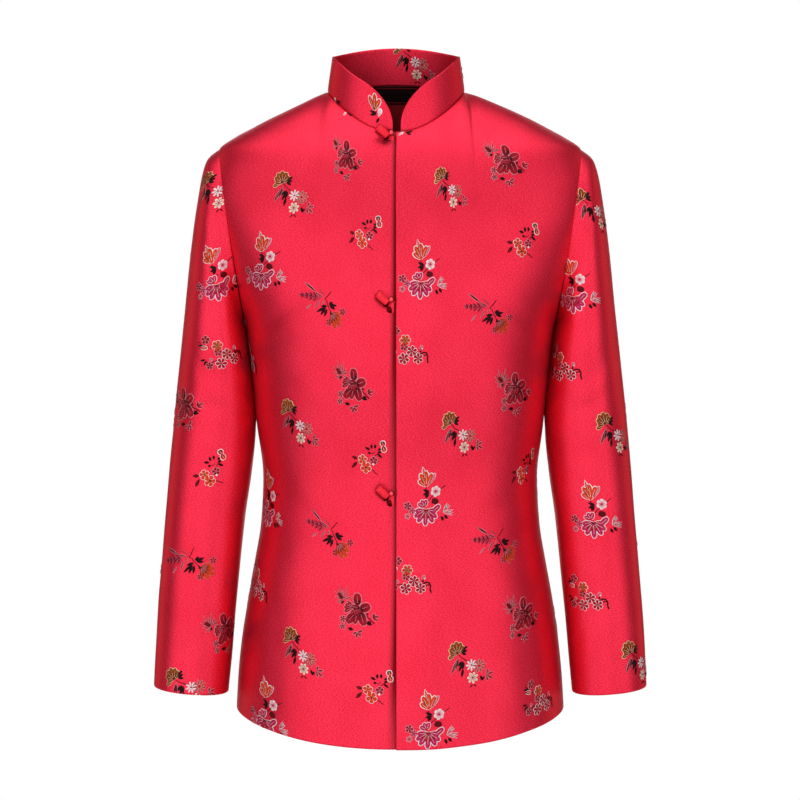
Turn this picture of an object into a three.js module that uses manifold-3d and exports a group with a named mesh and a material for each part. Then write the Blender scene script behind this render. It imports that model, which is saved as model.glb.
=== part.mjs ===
// A women's Tang jacket with a stand collar, set-in sleeves and three knot buttons, filled out as when worn.
// Millimetres, +Z up. The origin is the middle of the neck, level with the points where the shoulder seams
// meet the collar. The front faces -Y and the wearer's left is +X. Every cloth piece is a thin wall.

import * as THREE from 'three';
import { mergeVertices } from 'three/addons/utils/BufferGeometryUtils.js';
import Module from 'manifold-3d';

const wasm = await Module();
wasm.setup();

// ---------------------------------------------------------------- driving dimensions

const WALL = 1.8; // brocade, interlining and lining together
const GAP = 0.3; // left open between two pieces
const HALF_GAP = GAP / 2;

const SECTION_POWER = 2.3; // how square the torso's level sections are; 2 is an ellipse
const SLEEVE_POWER = 2.15; // the same for the sleeve's rings

const HEM = { side: -677, frontDrop: 23, backDrop: 10 };
const NECK = { centreX: -4.4, halfWidth: 75, front: 62, back: 55, frontDrop: 43, backRise: 10 };
const COLLAR_TOP = { halfWidth: 69.5, front: 57, back: 47, side: 38.5, frontZ: 1, backZ: 49 };
const COLLAR_CORNER = 38; // radius of the collar's front corners
const COLLAR_ENDS = { left: 0.5, right: -8 }; // x of the collar's two front ends

const UNDERLAP_X = 15; // how far the right front runs on under the left one
const LAP = { height: WALL + 4 * GAP, full: 30, none: 70 }; // how the left front rises over the underlap

const NECK_STEP = THREE.MathUtils.degToRad(15); // one grid column along the neckline
const NECK_CELLS = 6; // from the centre to the side of the neck
const SHOULDER_CELLS = 7;
const SIDE_CELLS = 13; // rows along a side seam
const ARMHOLE_CELLS = 10; // rows along each half of an armhole
const SLEEVE_ROWS = 19;
const COLLAR_ROWS = 4;
const COLLAR_CORNER_SHARES = [0, 0.07, 0.28, 0.6, 1]; // where its rounded corners have a column
const LABEL_CELLS = { across: 6, down: 3 };
const EDGE_FADE = 6; // how quickly a panel's edges let go of it: a higher power keeps to the edge
const NECK_FADE = 4; // the same for the neck's side along the shoulder seam

const LABEL = { width: 52, top: 7.5, bottom: -12, thickness: 0.8, clear: 0.5 };

// A knot is a short roll of cord on a neck. Offsets are seen from the front, from the neck's place.
const KNOT = {
  x: -14.7,
  heights: [-50, -225, -431.5],
  neckRadius: 2.6,
  neckHeight: 3.2,
  roll: { length: 16.5, radius: 5, bevel: 1.7, right: -4.5, up: 5.5 },
  lean: THREE.MathUtils.degToRad(41), // the roll runs down towards the front edge
  bulb: { radius: 2.7, right: 5.6, up: 4.6 },
};
const LOOP = { radius: 1.2, upperEnd: 2, lowerEnd: -9, straight: 2.4 };

// A table's first line names its columns, and each row after it is one section.
function table(names, ...rows) {
  const keys = names.split(' ');
  return rows.map((row) => Object.fromEntries(row.map((value, i) => [keys[i], value])));
}

// Level sections of the torso from the neck down: half its width, and how far it reaches forward and back.
const TORSO = table(
  'z halfWidth front back',
  [12, 48, 6, 54],
  [6, 64, 9, 57],
  [0, 76, 14, 59],
  [-3.5, 86, 21, 61],
  [-13, 107, 36, 65],
  [-22, 126.5, 45, 69],
  [-31, 145, 52, 73],
  [-40, 162, 58.5, 77],
  [-49, 179, 65, 81],
  [-62, 197.5, 73, 86],
  [-82, 204.5, 82, 92],
  [-123, 206, 97, 101],
  [-152, 200, 105, 105],
  [-180, 193, 111, 106],
  [-208, 183.5, 116, 106],
  [-250, 169.5, 120, 104],
  [-315, 161.9, 118, 99],
  [-360, 157.6, 113, 95],
  [-421, 150.5, 108, 92],
  [-470, 153.5, 109, 95],
  [-513, 160.6, 112, 100],
  [-557, 168.3, 116, 106],
  [-600, 175, 120, 111],
  [-645, 179.5, 124, 116],
  [-700, 182.5, 128, 120],
);

// Rings of the left sleeve from the armhole to the cuff: the outer and inner point of each, half its depth,
// and how far its middle lies behind (+) or before (-) the armhole's. The right sleeve mirrors it.
const SLEEVE = table(
  'outerX outerZ innerX innerZ halfDepth middleY',
  [197.5, -62, 169.5, -250, 52, 0],
  [210.5, -73.5, 170.3, -253, 54, 0],
  [216.5, -91, 170.6, -258, 56, 0],
  [221.2, -119, 170.3, -266, 58, -1],
  [227.2, -161, 169.3, -280, 59.5, -1],
  [234.5, -227, 166.2, -305, 58.5, -2],
  [240.3, -282, 162.8, -335, 55, -3],
  [246.2, -337, 160.6, -368, 51.5, -5],
  [251.8, -392, 164.3, -413, 48.5, -8],
  [256.6, -447, 170.2, -463, 46.5, -11],
  [261.3, -502, 175.6, -514, 44.8, -14],
  [266, -557, 181, -567, 43.2, -17],
  [269.4, -607, 185.3, -615, 42, -19],
  [271.6, -650, 189.3, -657, 41.3, -21],
);

// ---------------------------------------------------------------- materials

const brocade = new THREE.MeshStandardMaterial({ color: 0xe0203c, roughness: 0.5, metalness: 0 });
const knotCord = new THREE.MeshStandardMaterial({ color: 0xc8142c, roughness: 0.45, metalness: 0 });
const labelCloth = new THREE.MeshStandardMaterial({ color: 0x1c0508, roughness: 0.7, metalness: 0 });

// ---------------------------------------------------------------- helpers

const vec = (x, y, z) => new THREE.Vector3(x, y, z);
const signedPower = (value, power) => Math.sign(value) * Math.abs(value) ** power;
const last = (list) => list[list.length - 1];

// Reads one column of a table at a place along another column, with a smooth curve that never overshoots.
function read(rows, key, at, value) {
  const sign = Math.sign(last(rows)[key] - rows[0][key]);
  const lastSpan = rows.length - 2;
  let i = 0;
  while (i < lastSpan && (at - rows[i + 1][key]) * sign > 0) i += 1;
  const slope = (k) => (rows[k + 1][value] - rows[k][value]) / (rows[k + 1][key] - rows[k][key]);
  const tangent = (k) => {
    if (k === 0) return slope(0);
    if (k === rows.length - 1) return slope(k - 1);
    const [before, after] = [slope(k - 1), slope(k)];
    return before * after > 0 ? (2 * before * after) / (before + after) : 0;
  };
  const span = rows[i + 1][key] - rows[i][key];
  const t = (at - rows[i][key]) / span;
  const start = (1 + 2 * t) * (1 - t) ** 2 * rows[i][value] + t * (1 - t) ** 2 * span * tangent(i);
  const end = t * t * (3 - 2 * t) * rows[i + 1][value] + t * t * (t - 1) * span * tangent(i + 1);
  return start + end;
}

// The four nodes round a cell of a grid, from the corner where its shorter outer diagonal starts, so that
// both layers of the wall are split the same way.
function cellNodes(columns, c, r) {
  const [here, next] = [columns[c], columns[(c + 1) % columns.length]];
  const nodes = [here[r], next[r], next[r + 1], here[r + 1]];
  const rising = nodes[0].outer.distanceTo(nodes[2].outer);
  const falling = nodes[1].outer.distanceTo(nodes[3].outer);
  return rising <= falling ? nodes : [...nodes.slice(1), nodes[0]];
}

// A wall from a grid of nodes, each an outer and an inner point, closed along all its edges. A ring grid
// joins its last column to its first.
function wallGeometry(columns, ring = false) {
  const rows = columns[0].length;
  const corner = (c, r, layer) => 2 * ((c % columns.length) * rows + r) + layer;
  const numbers = new Map(columns.flat().map((node, i) => [node, 2 * i]));
  const faces = [];
  const quad = (a, b, c, d) => faces.push(a, b, c, a, c, d);
  const spans = ring ? columns.length : columns.length - 1;
  for (let c = 0; c < spans; c += 1) {
    for (let r = 0; r < rows - 1; r += 1) {
      const [p, q, s, t] = cellNodes(columns, c, r).map((node) => numbers.get(node));
      quad(p, q, s, t);
      quad(p + 1, t + 1, s + 1, q + 1);
    }
    for (const r of [0, rows - 1]) {
      const strip = [corner(c, r, 1), corner(c + 1, r, 1), corner(c + 1, r, 0), corner(c, r, 0)];
      quad(...(r ? strip.reverse() : strip));
    }
  }
  for (const c of ring ? [] : [0, columns.length - 1]) {
    for (let r = 0; r < rows - 1; r += 1) {
      const strip = [corner(c, r, 0), corner(c, r + 1, 0), corner(c, r + 1, 1), corner(c, r, 1)];
      quad(...(c ? strip.reverse() : strip));
    }
  }
  const points = columns.flat().flatMap((node) => [node.outer, node.inner]);
  return facingOut(points, faces);
}

// A wall that comes out inside out, as a mirrored one does, is turned over.
function facingOut(points, faces) {
  let volume = 0;
  for (let i = 0; i < faces.length; i += 3) {
    const [a, b, c] = [points[faces[i]], points[faces[i + 1]], points[faces[i + 2]]];
    volume += a.dot(b.clone().cross(c));
  }
  const geometry = new THREE.BufferGeometry();
  geometry.setFromPoints(points);
  geometry.setIndex(volume < 0 ? faces.reverse() : faces);
  geometry.computeVertexNormals();
  return geometry;
}

function addMesh(name, geometry, material) {
  const mesh = new THREE.Mesh(geometry, material);
  mesh.name = name;
  jacket.add(mesh);
  return mesh;
}

// ---------------------------------------------------------------- the torso's surface

const torsoSize = (z, back) => ({
  width: read(TORSO, 'z', z, 'halfWidth'),
  depth: read(TORSO, 'z', z, back ? 'back' : 'front'),
});

// The torso's surface at a place across the front or the back.
function torsoAcross(x, z, back) {
  const { width, depth } = torsoSize(z, back);
  const y = depth * (1 - Math.abs(x / width) ** SECTION_POWER) ** (1 / SECTION_POWER);
  return vec(x, back ? y : -y, z);
}

// How far out a point lies, where 1 is on the surface, and the direction in which that grows.
function torsoReach(p) {
  const step = 0.5; // mm to each side, for the slope
  const reach = (q) => {
    const { width, depth } = torsoSize(q.z, q.y > 0);
    const sum = Math.abs(q.x / width) ** SECTION_POWER + Math.abs(q.y / depth) ** SECTION_POWER;
    return sum ** (1 / SECTION_POWER);
  };
  const slope = vec(0, 0, 0);
  for (const axis of ['x', 'y', 'z']) {
    const move = vec(0, 0, 0);
    move[axis] = step;
    slope[axis] = (reach(p.clone().add(move)) - reach(p.clone().sub(move))) / (2 * step);
  }
  return { value: reach(p), slope };
}

// The seams lie at y = 0, where front and back have the same direction out.
function torsoNormal(p) {
  const onSeam = Math.abs(p.y) <= GAP;
  const { slope } = torsoReach(onSeam ? vec(p.x, 0, p.z) : p);
  if (onSeam) slope.y = 0;
  return slope.normalize();
}

// Moves a point straight onto the torso's surface, a few steps being enough for a point near it.
function ontoTorso(p) {
  const q = p.clone();
  for (let i = 0; i < 4; i += 1) {
    const { value, slope } = torsoReach(q);
    q.addScaledVector(slope, (1 - value) / slope.lengthSq());
  }
  return q;
}

// ---------------------------------------------------------------- neckline, collar and armholes

// A turn of 0 is the wearer's left side of the neck, 90 degrees its front, and -90 degrees its back.
function neckPoint(turn) {
  const across = Math.sin(turn);
  const depth = across > 0 ? NECK.front : NECK.back;
  const rise = across > 0 ? -NECK.frontDrop : NECK.backRise;
  return vec(NECK.centreX + NECK.halfWidth * Math.cos(turn), -depth * across, rise * across ** 2);
}

function collarTopPoint(turn) {
  const across = Math.sin(turn);
  const depth = across > 0 ? COLLAR_TOP.front : COLLAR_TOP.back;
  const end = across > 0 ? COLLAR_TOP.frontZ : COLLAR_TOP.backZ;
  const z = COLLAR_TOP.side + (end - COLLAR_TOP.side) * across ** 2;
  return vec(NECK.centreX + COLLAR_TOP.halfWidth * Math.cos(turn), -depth * across, z);
}

// The seam between torso and collar: a point on it, the way through both walls, and the way across it.
function neckSeam(turn) {
  const point = neckPoint(turn);
  const up = collarTopPoint(turn).sub(point).normalize();
  const nudge = 0.01;
  const along = neckPoint(turn + nudge).sub(neckPoint(turn - nudge)).normalize();
  const collarOut = up.clone().cross(along).normalize();
  if (collarOut.dot(vec(point.x - NECK.centreX, point.y, 0)) < 0) collarOut.negate();
  const torsoOut = torsoNormal(point);
  const through = torsoOut.clone().add(collarOut).multiplyScalar(-WALL / (1 + torsoOut.dot(collarOut)));
  const across = along.clone().cross(through).normalize();
  if (across.z < 0) across.negate();
  return { point, through, across, collarOut };
}

// The left front and the collar's left part stand out over the underlap, and less so towards the shoulder.
const lapShift = (x) => -LAP.height * (1 - THREE.MathUtils.smoothstep(x, LAP.full, LAP.none));

const SLEEVE_RINGS = SLEEVE.map((row, ring) => ({ ...row, ring }));

// The left sleeve's outer surface: ring 0 is the armhole, a turn of 0 its top and 90 degrees its front.
function sleevePoint(ring, turn) {
  const at = (value) => read(SLEEVE_RINGS, 'ring', ring, value);
  const bend = 2 / SLEEVE_POWER;
  const [c, s] = [signedPower(Math.cos(turn), bend), signedPower(Math.sin(turn), bend)];
  const mix = (outer, inner) => (outer + inner) / 2 + ((outer - inner) / 2) * c;
  const x = mix(at('outerX'), at('innerX'));
  const z = mix(at('outerZ'), at('innerZ'));
  return vec(x, at('middleY') - at('halfDepth') * s, z);
}

const armholeMiddle = sleevePoint(0, 0).add(sleevePoint(0, Math.PI)).divideScalar(2);
const armholeOut = vec(0, 1, 0).cross(sleevePoint(0, 0).sub(armholeMiddle)).normalize();

const mirrored = (p, side) => vec(side * p.x, p.y, p.z);

// ---------------------------------------------------------------- fronts and back

// A point on the armhole's edge of a body panel, as a grid node whose wall points at the armhole's middle.
function armholeNode(turn, side, back) {
  const edge = sleevePoint(0, turn);
  const through = armholeMiddle.clone().sub(edge).setLength(WALL);
  edge.addScaledVector(armholeOut, -HALF_GAP);
  edge.y = (back ? 1 : -1) * Math.max(HALF_GAP, Math.abs(edge.y));
  return { point: mirrored(edge, side), through: mirrored(through, side) };
}

// The side seam from the hem to the armhole, then the armhole up to the shoulder.
function sideEdge(side, back) {
  const nodes = [];
  const seamY = back ? HALF_GAP : -HALF_GAP;
  const armpit = sleevePoint(0, Math.PI).z;
  for (let r = 0; r < SIDE_CELLS; r += 1) {
    const z = THREE.MathUtils.lerp(HEM.side, armpit, r / SIDE_CELLS);
    nodes.push({ point: vec(side * torsoSize(z, back).width, seamY, z) });
  }
  for (let r = 0; r <= ARMHOLE_CELLS; r += 1) {
    nodes.push(armholeNode(Math.PI * (1 - r / ARMHOLE_CELLS), side, back));
  }
  return nodes;
}

// The neckline from the centre edge to the side of the neck, then the shoulder seam out to the armhole.
function topEdge(side, back, neckCells, corner) {
  const nodes = [];
  for (let c = neckCells; c >= 0; c -= 1) {
    const fromSide = (back ? -1 : 1) * c * NECK_STEP;
    const seam = neckSeam(side > 0 ? fromSide : Math.PI - fromSide);
    const point = seam.point.addScaledVector(seam.across, -HALF_GAP);
    if (c === 0) point.y = back ? HALF_GAP : -HALF_GAP;
    nodes.push({ point, through: seam.through });
  }
  const neckSide = last(nodes).point;
  const start = torsoSize(neckSide.z, back).width;
  for (let c = 1; c < SHOULDER_CELLS; c += 1) {
    const t = c / SHOULDER_CELLS;
    const z = THREE.MathUtils.lerp(neckSide.z, corner.z, t);
    const fit = (Math.abs(neckSide.x) - start) * (1 - t) ** NECK_FADE;
    nodes.push({ point: vec(side * (torsoSize(z, back).width + fit), neckSide.y, z) });
  }
  return nodes;
}

function hemPoint(turn, side, back) {
  const z = HEM.side - (back ? HEM.backDrop : HEM.frontDrop) * Math.sin(turn) ** 2;
  const { width, depth } = torsoSize(z, back);
  const bend = 2 / SECTION_POWER;
  const y = Math.max(HALF_GAP, depth * signedPower(Math.sin(turn), bend));
  return vec(side * width * signedPower(Math.cos(turn), bend), back ? y : -y, z);
}

// Half of the body, from a straight centre edge at edgeX to the side seam and armhole. Its four edges are
// filled in between, and the filling is laid onto the torso's surface.
function halfPanel(side, back, edgeX, neckCells) {
  const sideNodes = sideEdge(side, back);
  const rows = sideNodes.length - 1;
  const columns = neckCells + SHOULDER_CELLS;
  const topNodes = topEdge(side, back, neckCells, last(sideNodes).point);
  topNodes.push(last(sideNodes));

  const hemWidth = torsoSize(HEM.side - HEM.frontDrop, back).width;
  const startTurn = Math.acos(signedPower((side * edgeX) / hemWidth, SECTION_POWER / 2));
  const hem = topNodes.map((_, c) => hemPoint(startTurn * (1 - c / columns), side, back));
  hem[0].x = edgeX;
  hem[columns] = sideNodes[0].point;

  const neckEnd = topNodes[0].point;
  const centre = sideNodes.map((_, r) => {
    const t = r / rows;
    const p = torsoAcross(edgeX, THREE.MathUtils.lerp(hem[0].z, neckEnd.z, t), back);
    const miss = neckEnd.y - torsoAcross(edgeX, neckEnd.z, back).y;
    return vec(edgeX, p.y + miss * t ** EDGE_FADE, p.z);
  });
  centre[0] = hem[0];
  centre[rows] = neckEnd;

  const filled = (c, r) => {
    const [a, b] = [c / columns, r / rows];
    const p = vec(0, 0, 0);
    p.addScaledVector(centre[r], 1 - a).addScaledVector(sideNodes[r].point, a);
    p.addScaledVector(hem[c], 1 - b).addScaledVector(topNodes[c].point, b);
    p.addScaledVector(hem[0], -(1 - a) * (1 - b)).addScaledVector(hem[columns], -a * (1 - b));
    return p.addScaledVector(neckEnd, -(1 - a) * b).addScaledVector(last(sideNodes).point, -a * b);
  };
  const lift = (c, r) => ontoTorso(filled(c, r)).sub(filled(c, r));

  const grid = [];
  for (let c = 0; c <= columns; c += 1) {
    const column = [];
    for (let r = 0; r <= rows; r += 1) {
      const onEdge = c === 0 || c === columns || r === 0 || r === rows;
      const outer = filled(c, r);
      if (!onEdge) {
        const [a, b] = [(c / columns) ** EDGE_FADE, (r / rows) ** EDGE_FADE];
        outer.add(lift(c, r)).addScaledVector(lift(columns, r), -a);
        outer.addScaledVector(lift(c, rows), -b).addScaledVector(lift(columns, rows), a * b);
      }
      const edgeNode = c === columns ? sideNodes[r] : r === rows ? topNodes[c] : null;
      const through = edgeNode?.through ?? torsoNormal(outer).multiplyScalar(-WALL);
      column.push({ outer, inner: outer.clone().add(through) });
    }
    grid.push(column);
  }
  return grid;
}

// Moves the grid of the left front forward where the right front runs on under it.
function raisedOverUnderlap(grid) {
  for (const node of grid.flat()) {
    const shift = lapShift(node.outer.x);
    node.outer.y += shift;
    node.inner.y += shift;
  }
  return grid;
}

const underlapCells = Math.round(Math.asin((UNDERLAP_X - NECK.centreX) / NECK.halfWidth) / NECK_STEP);
const underlapEdge = neckPoint(Math.PI / 2 - underlapCells * NECK_STEP).x;
const frontRight = halfPanel(-1, false, underlapEdge, NECK_CELLS + underlapCells);
const frontLeft = raisedOverUnderlap(halfPanel(1, false, NECK.centreX, NECK_CELLS));
const backLeft = halfPanel(1, true, NECK.centreX, NECK_CELLS);
const backRight = halfPanel(-1, true, NECK.centreX, NECK_CELLS);
const backWhole = [...backRight.slice(1).reverse(), ...backLeft];

// ---------------------------------------------------------------- sleeves

function sleeveColumns(side) {
  const sides = 2 * ARMHOLE_CELLS;
  const rings = SLEEVE.length - 1;
  const nudge = 0.05; // of a ring, and of a radian round it, for the direction out
  const normal = (ring, turn) => {
    const above = sleevePoint(Math.max(0, ring - nudge), turn);
    const down = sleevePoint(Math.min(rings, ring + nudge), turn).sub(above);
    const round = sleevePoint(ring, turn + nudge).sub(sleevePoint(ring, turn - nudge));
    return round.cross(down).normalize();
  };
  const node = (ring, turn) => {
    const outer = sleevePoint(ring, turn);
    if (ring > 0) return { outer, inner: outer.clone().addScaledVector(normal(ring, turn), -WALL) };
    const through = armholeMiddle.clone().sub(outer).setLength(WALL);
    outer.addScaledVector(armholeOut, HALF_GAP);
    return { outer, inner: outer.clone().add(through) };
  };
  const columns = [];
  for (let c = 0; c < sides; c += 1) {
    const column = [];
    for (let r = 0; r <= SLEEVE_ROWS; r += 1) {
      const { outer, inner } = node((rings * r) / SLEEVE_ROWS, (2 * Math.PI * c) / sides);
      column.push({ outer: mirrored(outer, side), inner: mirrored(inner, side) });
    }
    columns.push(column);
  }
  return columns;
}

// ---------------------------------------------------------------- collar

// The collar goes round from its right front end by the back to its left one. Its ends are cut at the given
// x, between two columns of the neckline, and their top corners are rounded.
function collarColumns() {
  const perCell = NECK.halfWidth * Math.sin(NECK_STEP);
  const quarter = NECK_CELLS;
  const leftEnd = quarter - (COLLAR_ENDS.left - NECK.centreX) / perCell;
  const rightEnd = -3 * quarter + (NECK.centreX - COLLAR_ENDS.right) / perCell;
  const nearLeft = COLLAR_CORNER_SHARES.map((share) => leftEnd - (share * COLLAR_CORNER) / perCell);
  const nearRight = COLLAR_CORNER_SHARES.map((share) => rightEnd + (share * COLLAR_CORNER) / perCell);
  const places = [...nearLeft, ...nearRight];
  const tooNear = 0.12; // of a cell; a column this near one of the neckline's is moved onto it
  for (let whole = Math.ceil(rightEnd); whole < leftEnd; whole += 1) {
    const near = places.findIndex((place) => Math.abs(place - whole) < tooNear);
    if (near >= 0) places[near] = whole;
    else places.push(whole);
  }
  places.sort((a, b) => a - b);

  const blend = (place, pick) => {
    const low = Math.floor(place);
    const t = place - low;
    return pick(low * NECK_STEP).lerp(pick((low + 1) * NECK_STEP), t);
  };
  return places.map((place) => {
    const base = blend(place, (turn) => neckSeam(turn).point);
    const through = blend(place, (turn) => neckSeam(turn).through);
    const across = blend(place, (turn) => neckSeam(turn).across).normalize();
    const collarOut = blend(place, (turn) => neckSeam(turn).collarOut).normalize();
    const top = blend(place, collarTopPoint);
    const onLeft = place > 0;
    const shift = onLeft ? lapShift(base.x) : 0;
    const fromEnd = Math.min(leftEnd - place, place - rightEnd) * perCell;
    const inCorner = Math.max(0, COLLAR_CORNER - fromEnd);
    const height = top.distanceTo(base);
    const cut = COLLAR_CORNER - Math.sqrt(COLLAR_CORNER ** 2 - inCorner ** 2);
    const column = [];
    for (let r = 0; r <= COLLAR_ROWS; r += 1) {
      const t = (r / COLLAR_ROWS) * (1 - cut / height);
      const outer = base.clone().lerp(top, t);
      if (r === 0) outer.addScaledVector(across, GAP);
      const inner = outer.clone();
      if (r === 0) inner.add(through);
      else inner.addScaledVector(collarOut, -WALL);
      outer.y += shift;
      inner.y += shift;
      column.push({ outer, inner });
    }
    return column;
  });
}

// The point and outward normal of a body panel's facet at a place in the front view, on either layer.
function facetAt(grid, layer, x, z) {
  const at = vec(x, z, 0);
  for (let c = 0; c < grid.length - 1; c += 1) {
    for (let r = 0; r < grid[0].length - 1; r += 1) {
      const loop = cellNodes(grid, c, r).map((node) => node[layer]);
      for (const corners of [[0, 1, 2], [0, 2, 3]]) {
        const [a, b, d] = corners.map((i) => loop[i]);
        const flat = [a, b, d].map((p) => vec(p.x, p.z, 0));
        const share = THREE.Triangle.getBarycoord(at, ...flat, vec(0, 0, 0));
        if (!share || Math.min(share.x, share.y, share.z) < 0) continue;
        const normal = b.clone().sub(a).cross(d.clone().sub(a)).normalize();
        if (normal.y * a.y < 0) normal.negate();
        return { point: vec(x, a.y * share.x + b.y * share.y + d.y * share.z, z), normal };
      }
    }
  }
  throw new Error(`no cloth at ${x}, ${z}`);
}

// ---------------------------------------------------------------- neck label

// The label is made from the facets of the back's inner wall, moved inwards.
function labelColumns() {
  const node = (x, z) => {
    const { point, normal } = facetAt(backWhole, 'inner', x, z);
    const outer = point.addScaledVector(normal, -LABEL.clear);
    return { outer, inner: outer.clone().addScaledVector(normal, -LABEL.thickness) };
  };
  const columns = [];
  for (let c = 0; c <= LABEL_CELLS.across; c += 1) {
    const x = NECK.centreX + LABEL.width * (c / LABEL_CELLS.across - 0.5);
    const column = [];
    for (let r = 0; r <= LABEL_CELLS.down; r += 1) {
      column.push(node(x, THREE.MathUtils.lerp(LABEL.top, LABEL.bottom, r / LABEL_CELLS.down)));
    }
    columns.push(column);
  }
  return columns;
}

// ---------------------------------------------------------------- knot buttons and loops

function solidOf(geometry) {
  for (const name of ['normal', 'uv']) geometry.deleteAttribute(name);
  const merged = mergeVertices(geometry, 1e-4);
  const vertProperties = new Float32Array(merged.attributes.position.array);
  const triVerts = new Uint32Array(merged.index.array);
  return new wasm.Manifold(new wasm.Mesh({ numProp: 3, vertProperties, triVerts }));
}

// A roll of cord with a small bulb at its end, on a short neck. It stands out from the cloth along -Y.
function knotGeometry() {
  const { length, radius, bevel, right, up } = KNOT.roll;
  const [halfLength, out] = [length / 2, KNOT.neckHeight + radius];
  const profile = [
    [0, -halfLength],
    [radius - bevel, -halfLength],
    [radius - bevel / 3, bevel / 1.5 - halfLength],
    [radius, 1.5 * bevel - halfLength],
    [radius, halfLength - 1.5 * bevel],
    [radius - bevel / 3, halfLength - bevel / 1.5],
    [radius - bevel, halfLength],
    [0, halfLength],
  ];
  const roll = new THREE.LatheGeometry(profile.map(([r, y]) => new THREE.Vector2(r, y)), 14);
  roll.rotateZ(-Math.PI / 2).rotateY(KNOT.lean).translate(right, -out, up);
  const neck = new THREE.CylinderGeometry(KNOT.neckRadius, KNOT.neckRadius, out, 12);
  neck.translate(0, -out / 2, 0);
  const bulb = new THREE.SphereGeometry(KNOT.bulb.radius, 10, 8);
  bulb.translate(KNOT.bulb.right, -out, KNOT.bulb.up);
  const { vertProperties, triVerts } = solidOf(roll).add(solidOf(neck)).add(solidOf(bulb)).getMesh();
  const geometry = new THREE.BufferGeometry();
  geometry.setAttribute('position', new THREE.BufferAttribute(vertProperties, 3));
  geometry.setIndex(new THREE.BufferAttribute(triVerts, 1));
  geometry.computeVertexNormals();
  return geometry;
}

// A cord from the left front's edge, round the knot's neck and back to the edge, level with the cloth.
function loopGeometry(reach) {
  const section = new THREE.Shape();
  section.absarc(0, 0, LOOP.radius, 0, 2 * Math.PI);
  const bend = KNOT.neckRadius + 2 * GAP + LOOP.radius;
  const points = [vec(reach, 0, LOOP.upperEnd), vec(reach - LOOP.straight, 0, LOOP.upperEnd)];
  for (let degrees = 75; degrees <= 255; degrees += 30) {
    const turn = THREE.MathUtils.degToRad(degrees);
    points.push(vec(bend * Math.cos(turn), 0, bend * Math.sin(turn)));
  }
  points.push(vec(reach - LOOP.straight, 0, LOOP.lowerEnd), vec(reach, 0, LOOP.lowerEnd));
  const extrudePath = new THREE.CatmullRomCurve3(points, false, 'centripetal');
  const swept = { steps: 18, curveSegments: 4, bevelEnabled: false, extrudePath };
  return new THREE.ExtrudeGeometry(section, swept);
}

function addButtons() {
  KNOT.heights.forEach((z, i) => {
    const { point, normal } = facetAt(frontRight, 'outer', KNOT.x, z);
    const tilt = new THREE.Quaternion().setFromUnitVectors(vec(0, -1, 0), normal);
    const place = (mesh, height) => {
      mesh.position.copy(point).addScaledVector(normal, height);
      mesh.quaternion.copy(tilt);
    };
    place(addMesh(`knot_button_${i + 1}`, knotGeometry(), knotCord), 2 * GAP);
    const reach = NECK.centreX - GAP - KNOT.x;
    place(addMesh(`button_loop_${i + 1}`, loopGeometry(reach), knotCord), 2 * GAP + LOOP.radius);
  });
}

// ---------------------------------------------------------------- the jacket

const jacket = new THREE.Group();
addMesh('front_right', wallGeometry(frontRight), brocade);
addMesh('front_left', wallGeometry(frontLeft), brocade);
addMesh('back', wallGeometry(backWhole), brocade);
addMesh('sleeve_right', wallGeometry(sleeveColumns(-1), true), brocade);
addMesh('sleeve_left', wallGeometry(sleeveColumns(1), true), brocade);
addMesh('collar', wallGeometry(collarColumns()), brocade);
addMesh('neck_label', wallGeometry(labelColumns()), labelCloth);
addButtons();

export default jacket;
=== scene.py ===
"""A women's Tang jacket in red flower brocade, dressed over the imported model.

The sizes below are in millimetres and are those of the part: the front faces -Y, the wearer's left is +X,
and the origin is the middle of the neck. Meshes are made in metres.
"""

import math

import bpy
import numpy as np
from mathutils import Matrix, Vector
from mathutils.bvhtree import BVHTree
from mathutils.interpolate import poly_3d_calc


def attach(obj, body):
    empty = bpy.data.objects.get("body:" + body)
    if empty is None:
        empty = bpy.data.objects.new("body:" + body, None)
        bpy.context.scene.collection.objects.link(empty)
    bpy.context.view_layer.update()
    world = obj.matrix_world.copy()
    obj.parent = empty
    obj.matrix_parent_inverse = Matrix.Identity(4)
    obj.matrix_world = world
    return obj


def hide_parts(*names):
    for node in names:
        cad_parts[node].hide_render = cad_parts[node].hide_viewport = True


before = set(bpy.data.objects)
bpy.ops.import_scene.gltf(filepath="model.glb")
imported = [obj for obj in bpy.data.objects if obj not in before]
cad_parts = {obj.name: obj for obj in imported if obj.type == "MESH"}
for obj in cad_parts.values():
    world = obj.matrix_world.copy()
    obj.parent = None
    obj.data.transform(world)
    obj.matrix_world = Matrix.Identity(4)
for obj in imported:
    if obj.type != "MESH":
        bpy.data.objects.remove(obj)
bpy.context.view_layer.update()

MM = 0.001

# ---------------------------------------------------------------- camera

CAMERA = {"place": (-0.0002, -2.989, -0.0755), "look_at": (-0.0002, 0, -0.337), "lens": 122.7}


def add_camera():
    data = bpy.data.cameras.new("camera")
    data.lens = CAMERA["lens"]
    data.sensor_width = 36
    camera = bpy.data.objects.new("camera", data)
    bpy.context.scene.collection.objects.link(camera)
    camera.location = CAMERA["place"]
    aim = Vector(CAMERA["look_at"]) - Vector(CAMERA["place"])
    camera.rotation_euler = aim.to_track_quat("-Z", "Y").to_euler()
    bpy.context.scene.camera = camera


add_camera()

# ---------------------------------------------------------------- the jacket's sizes

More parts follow.
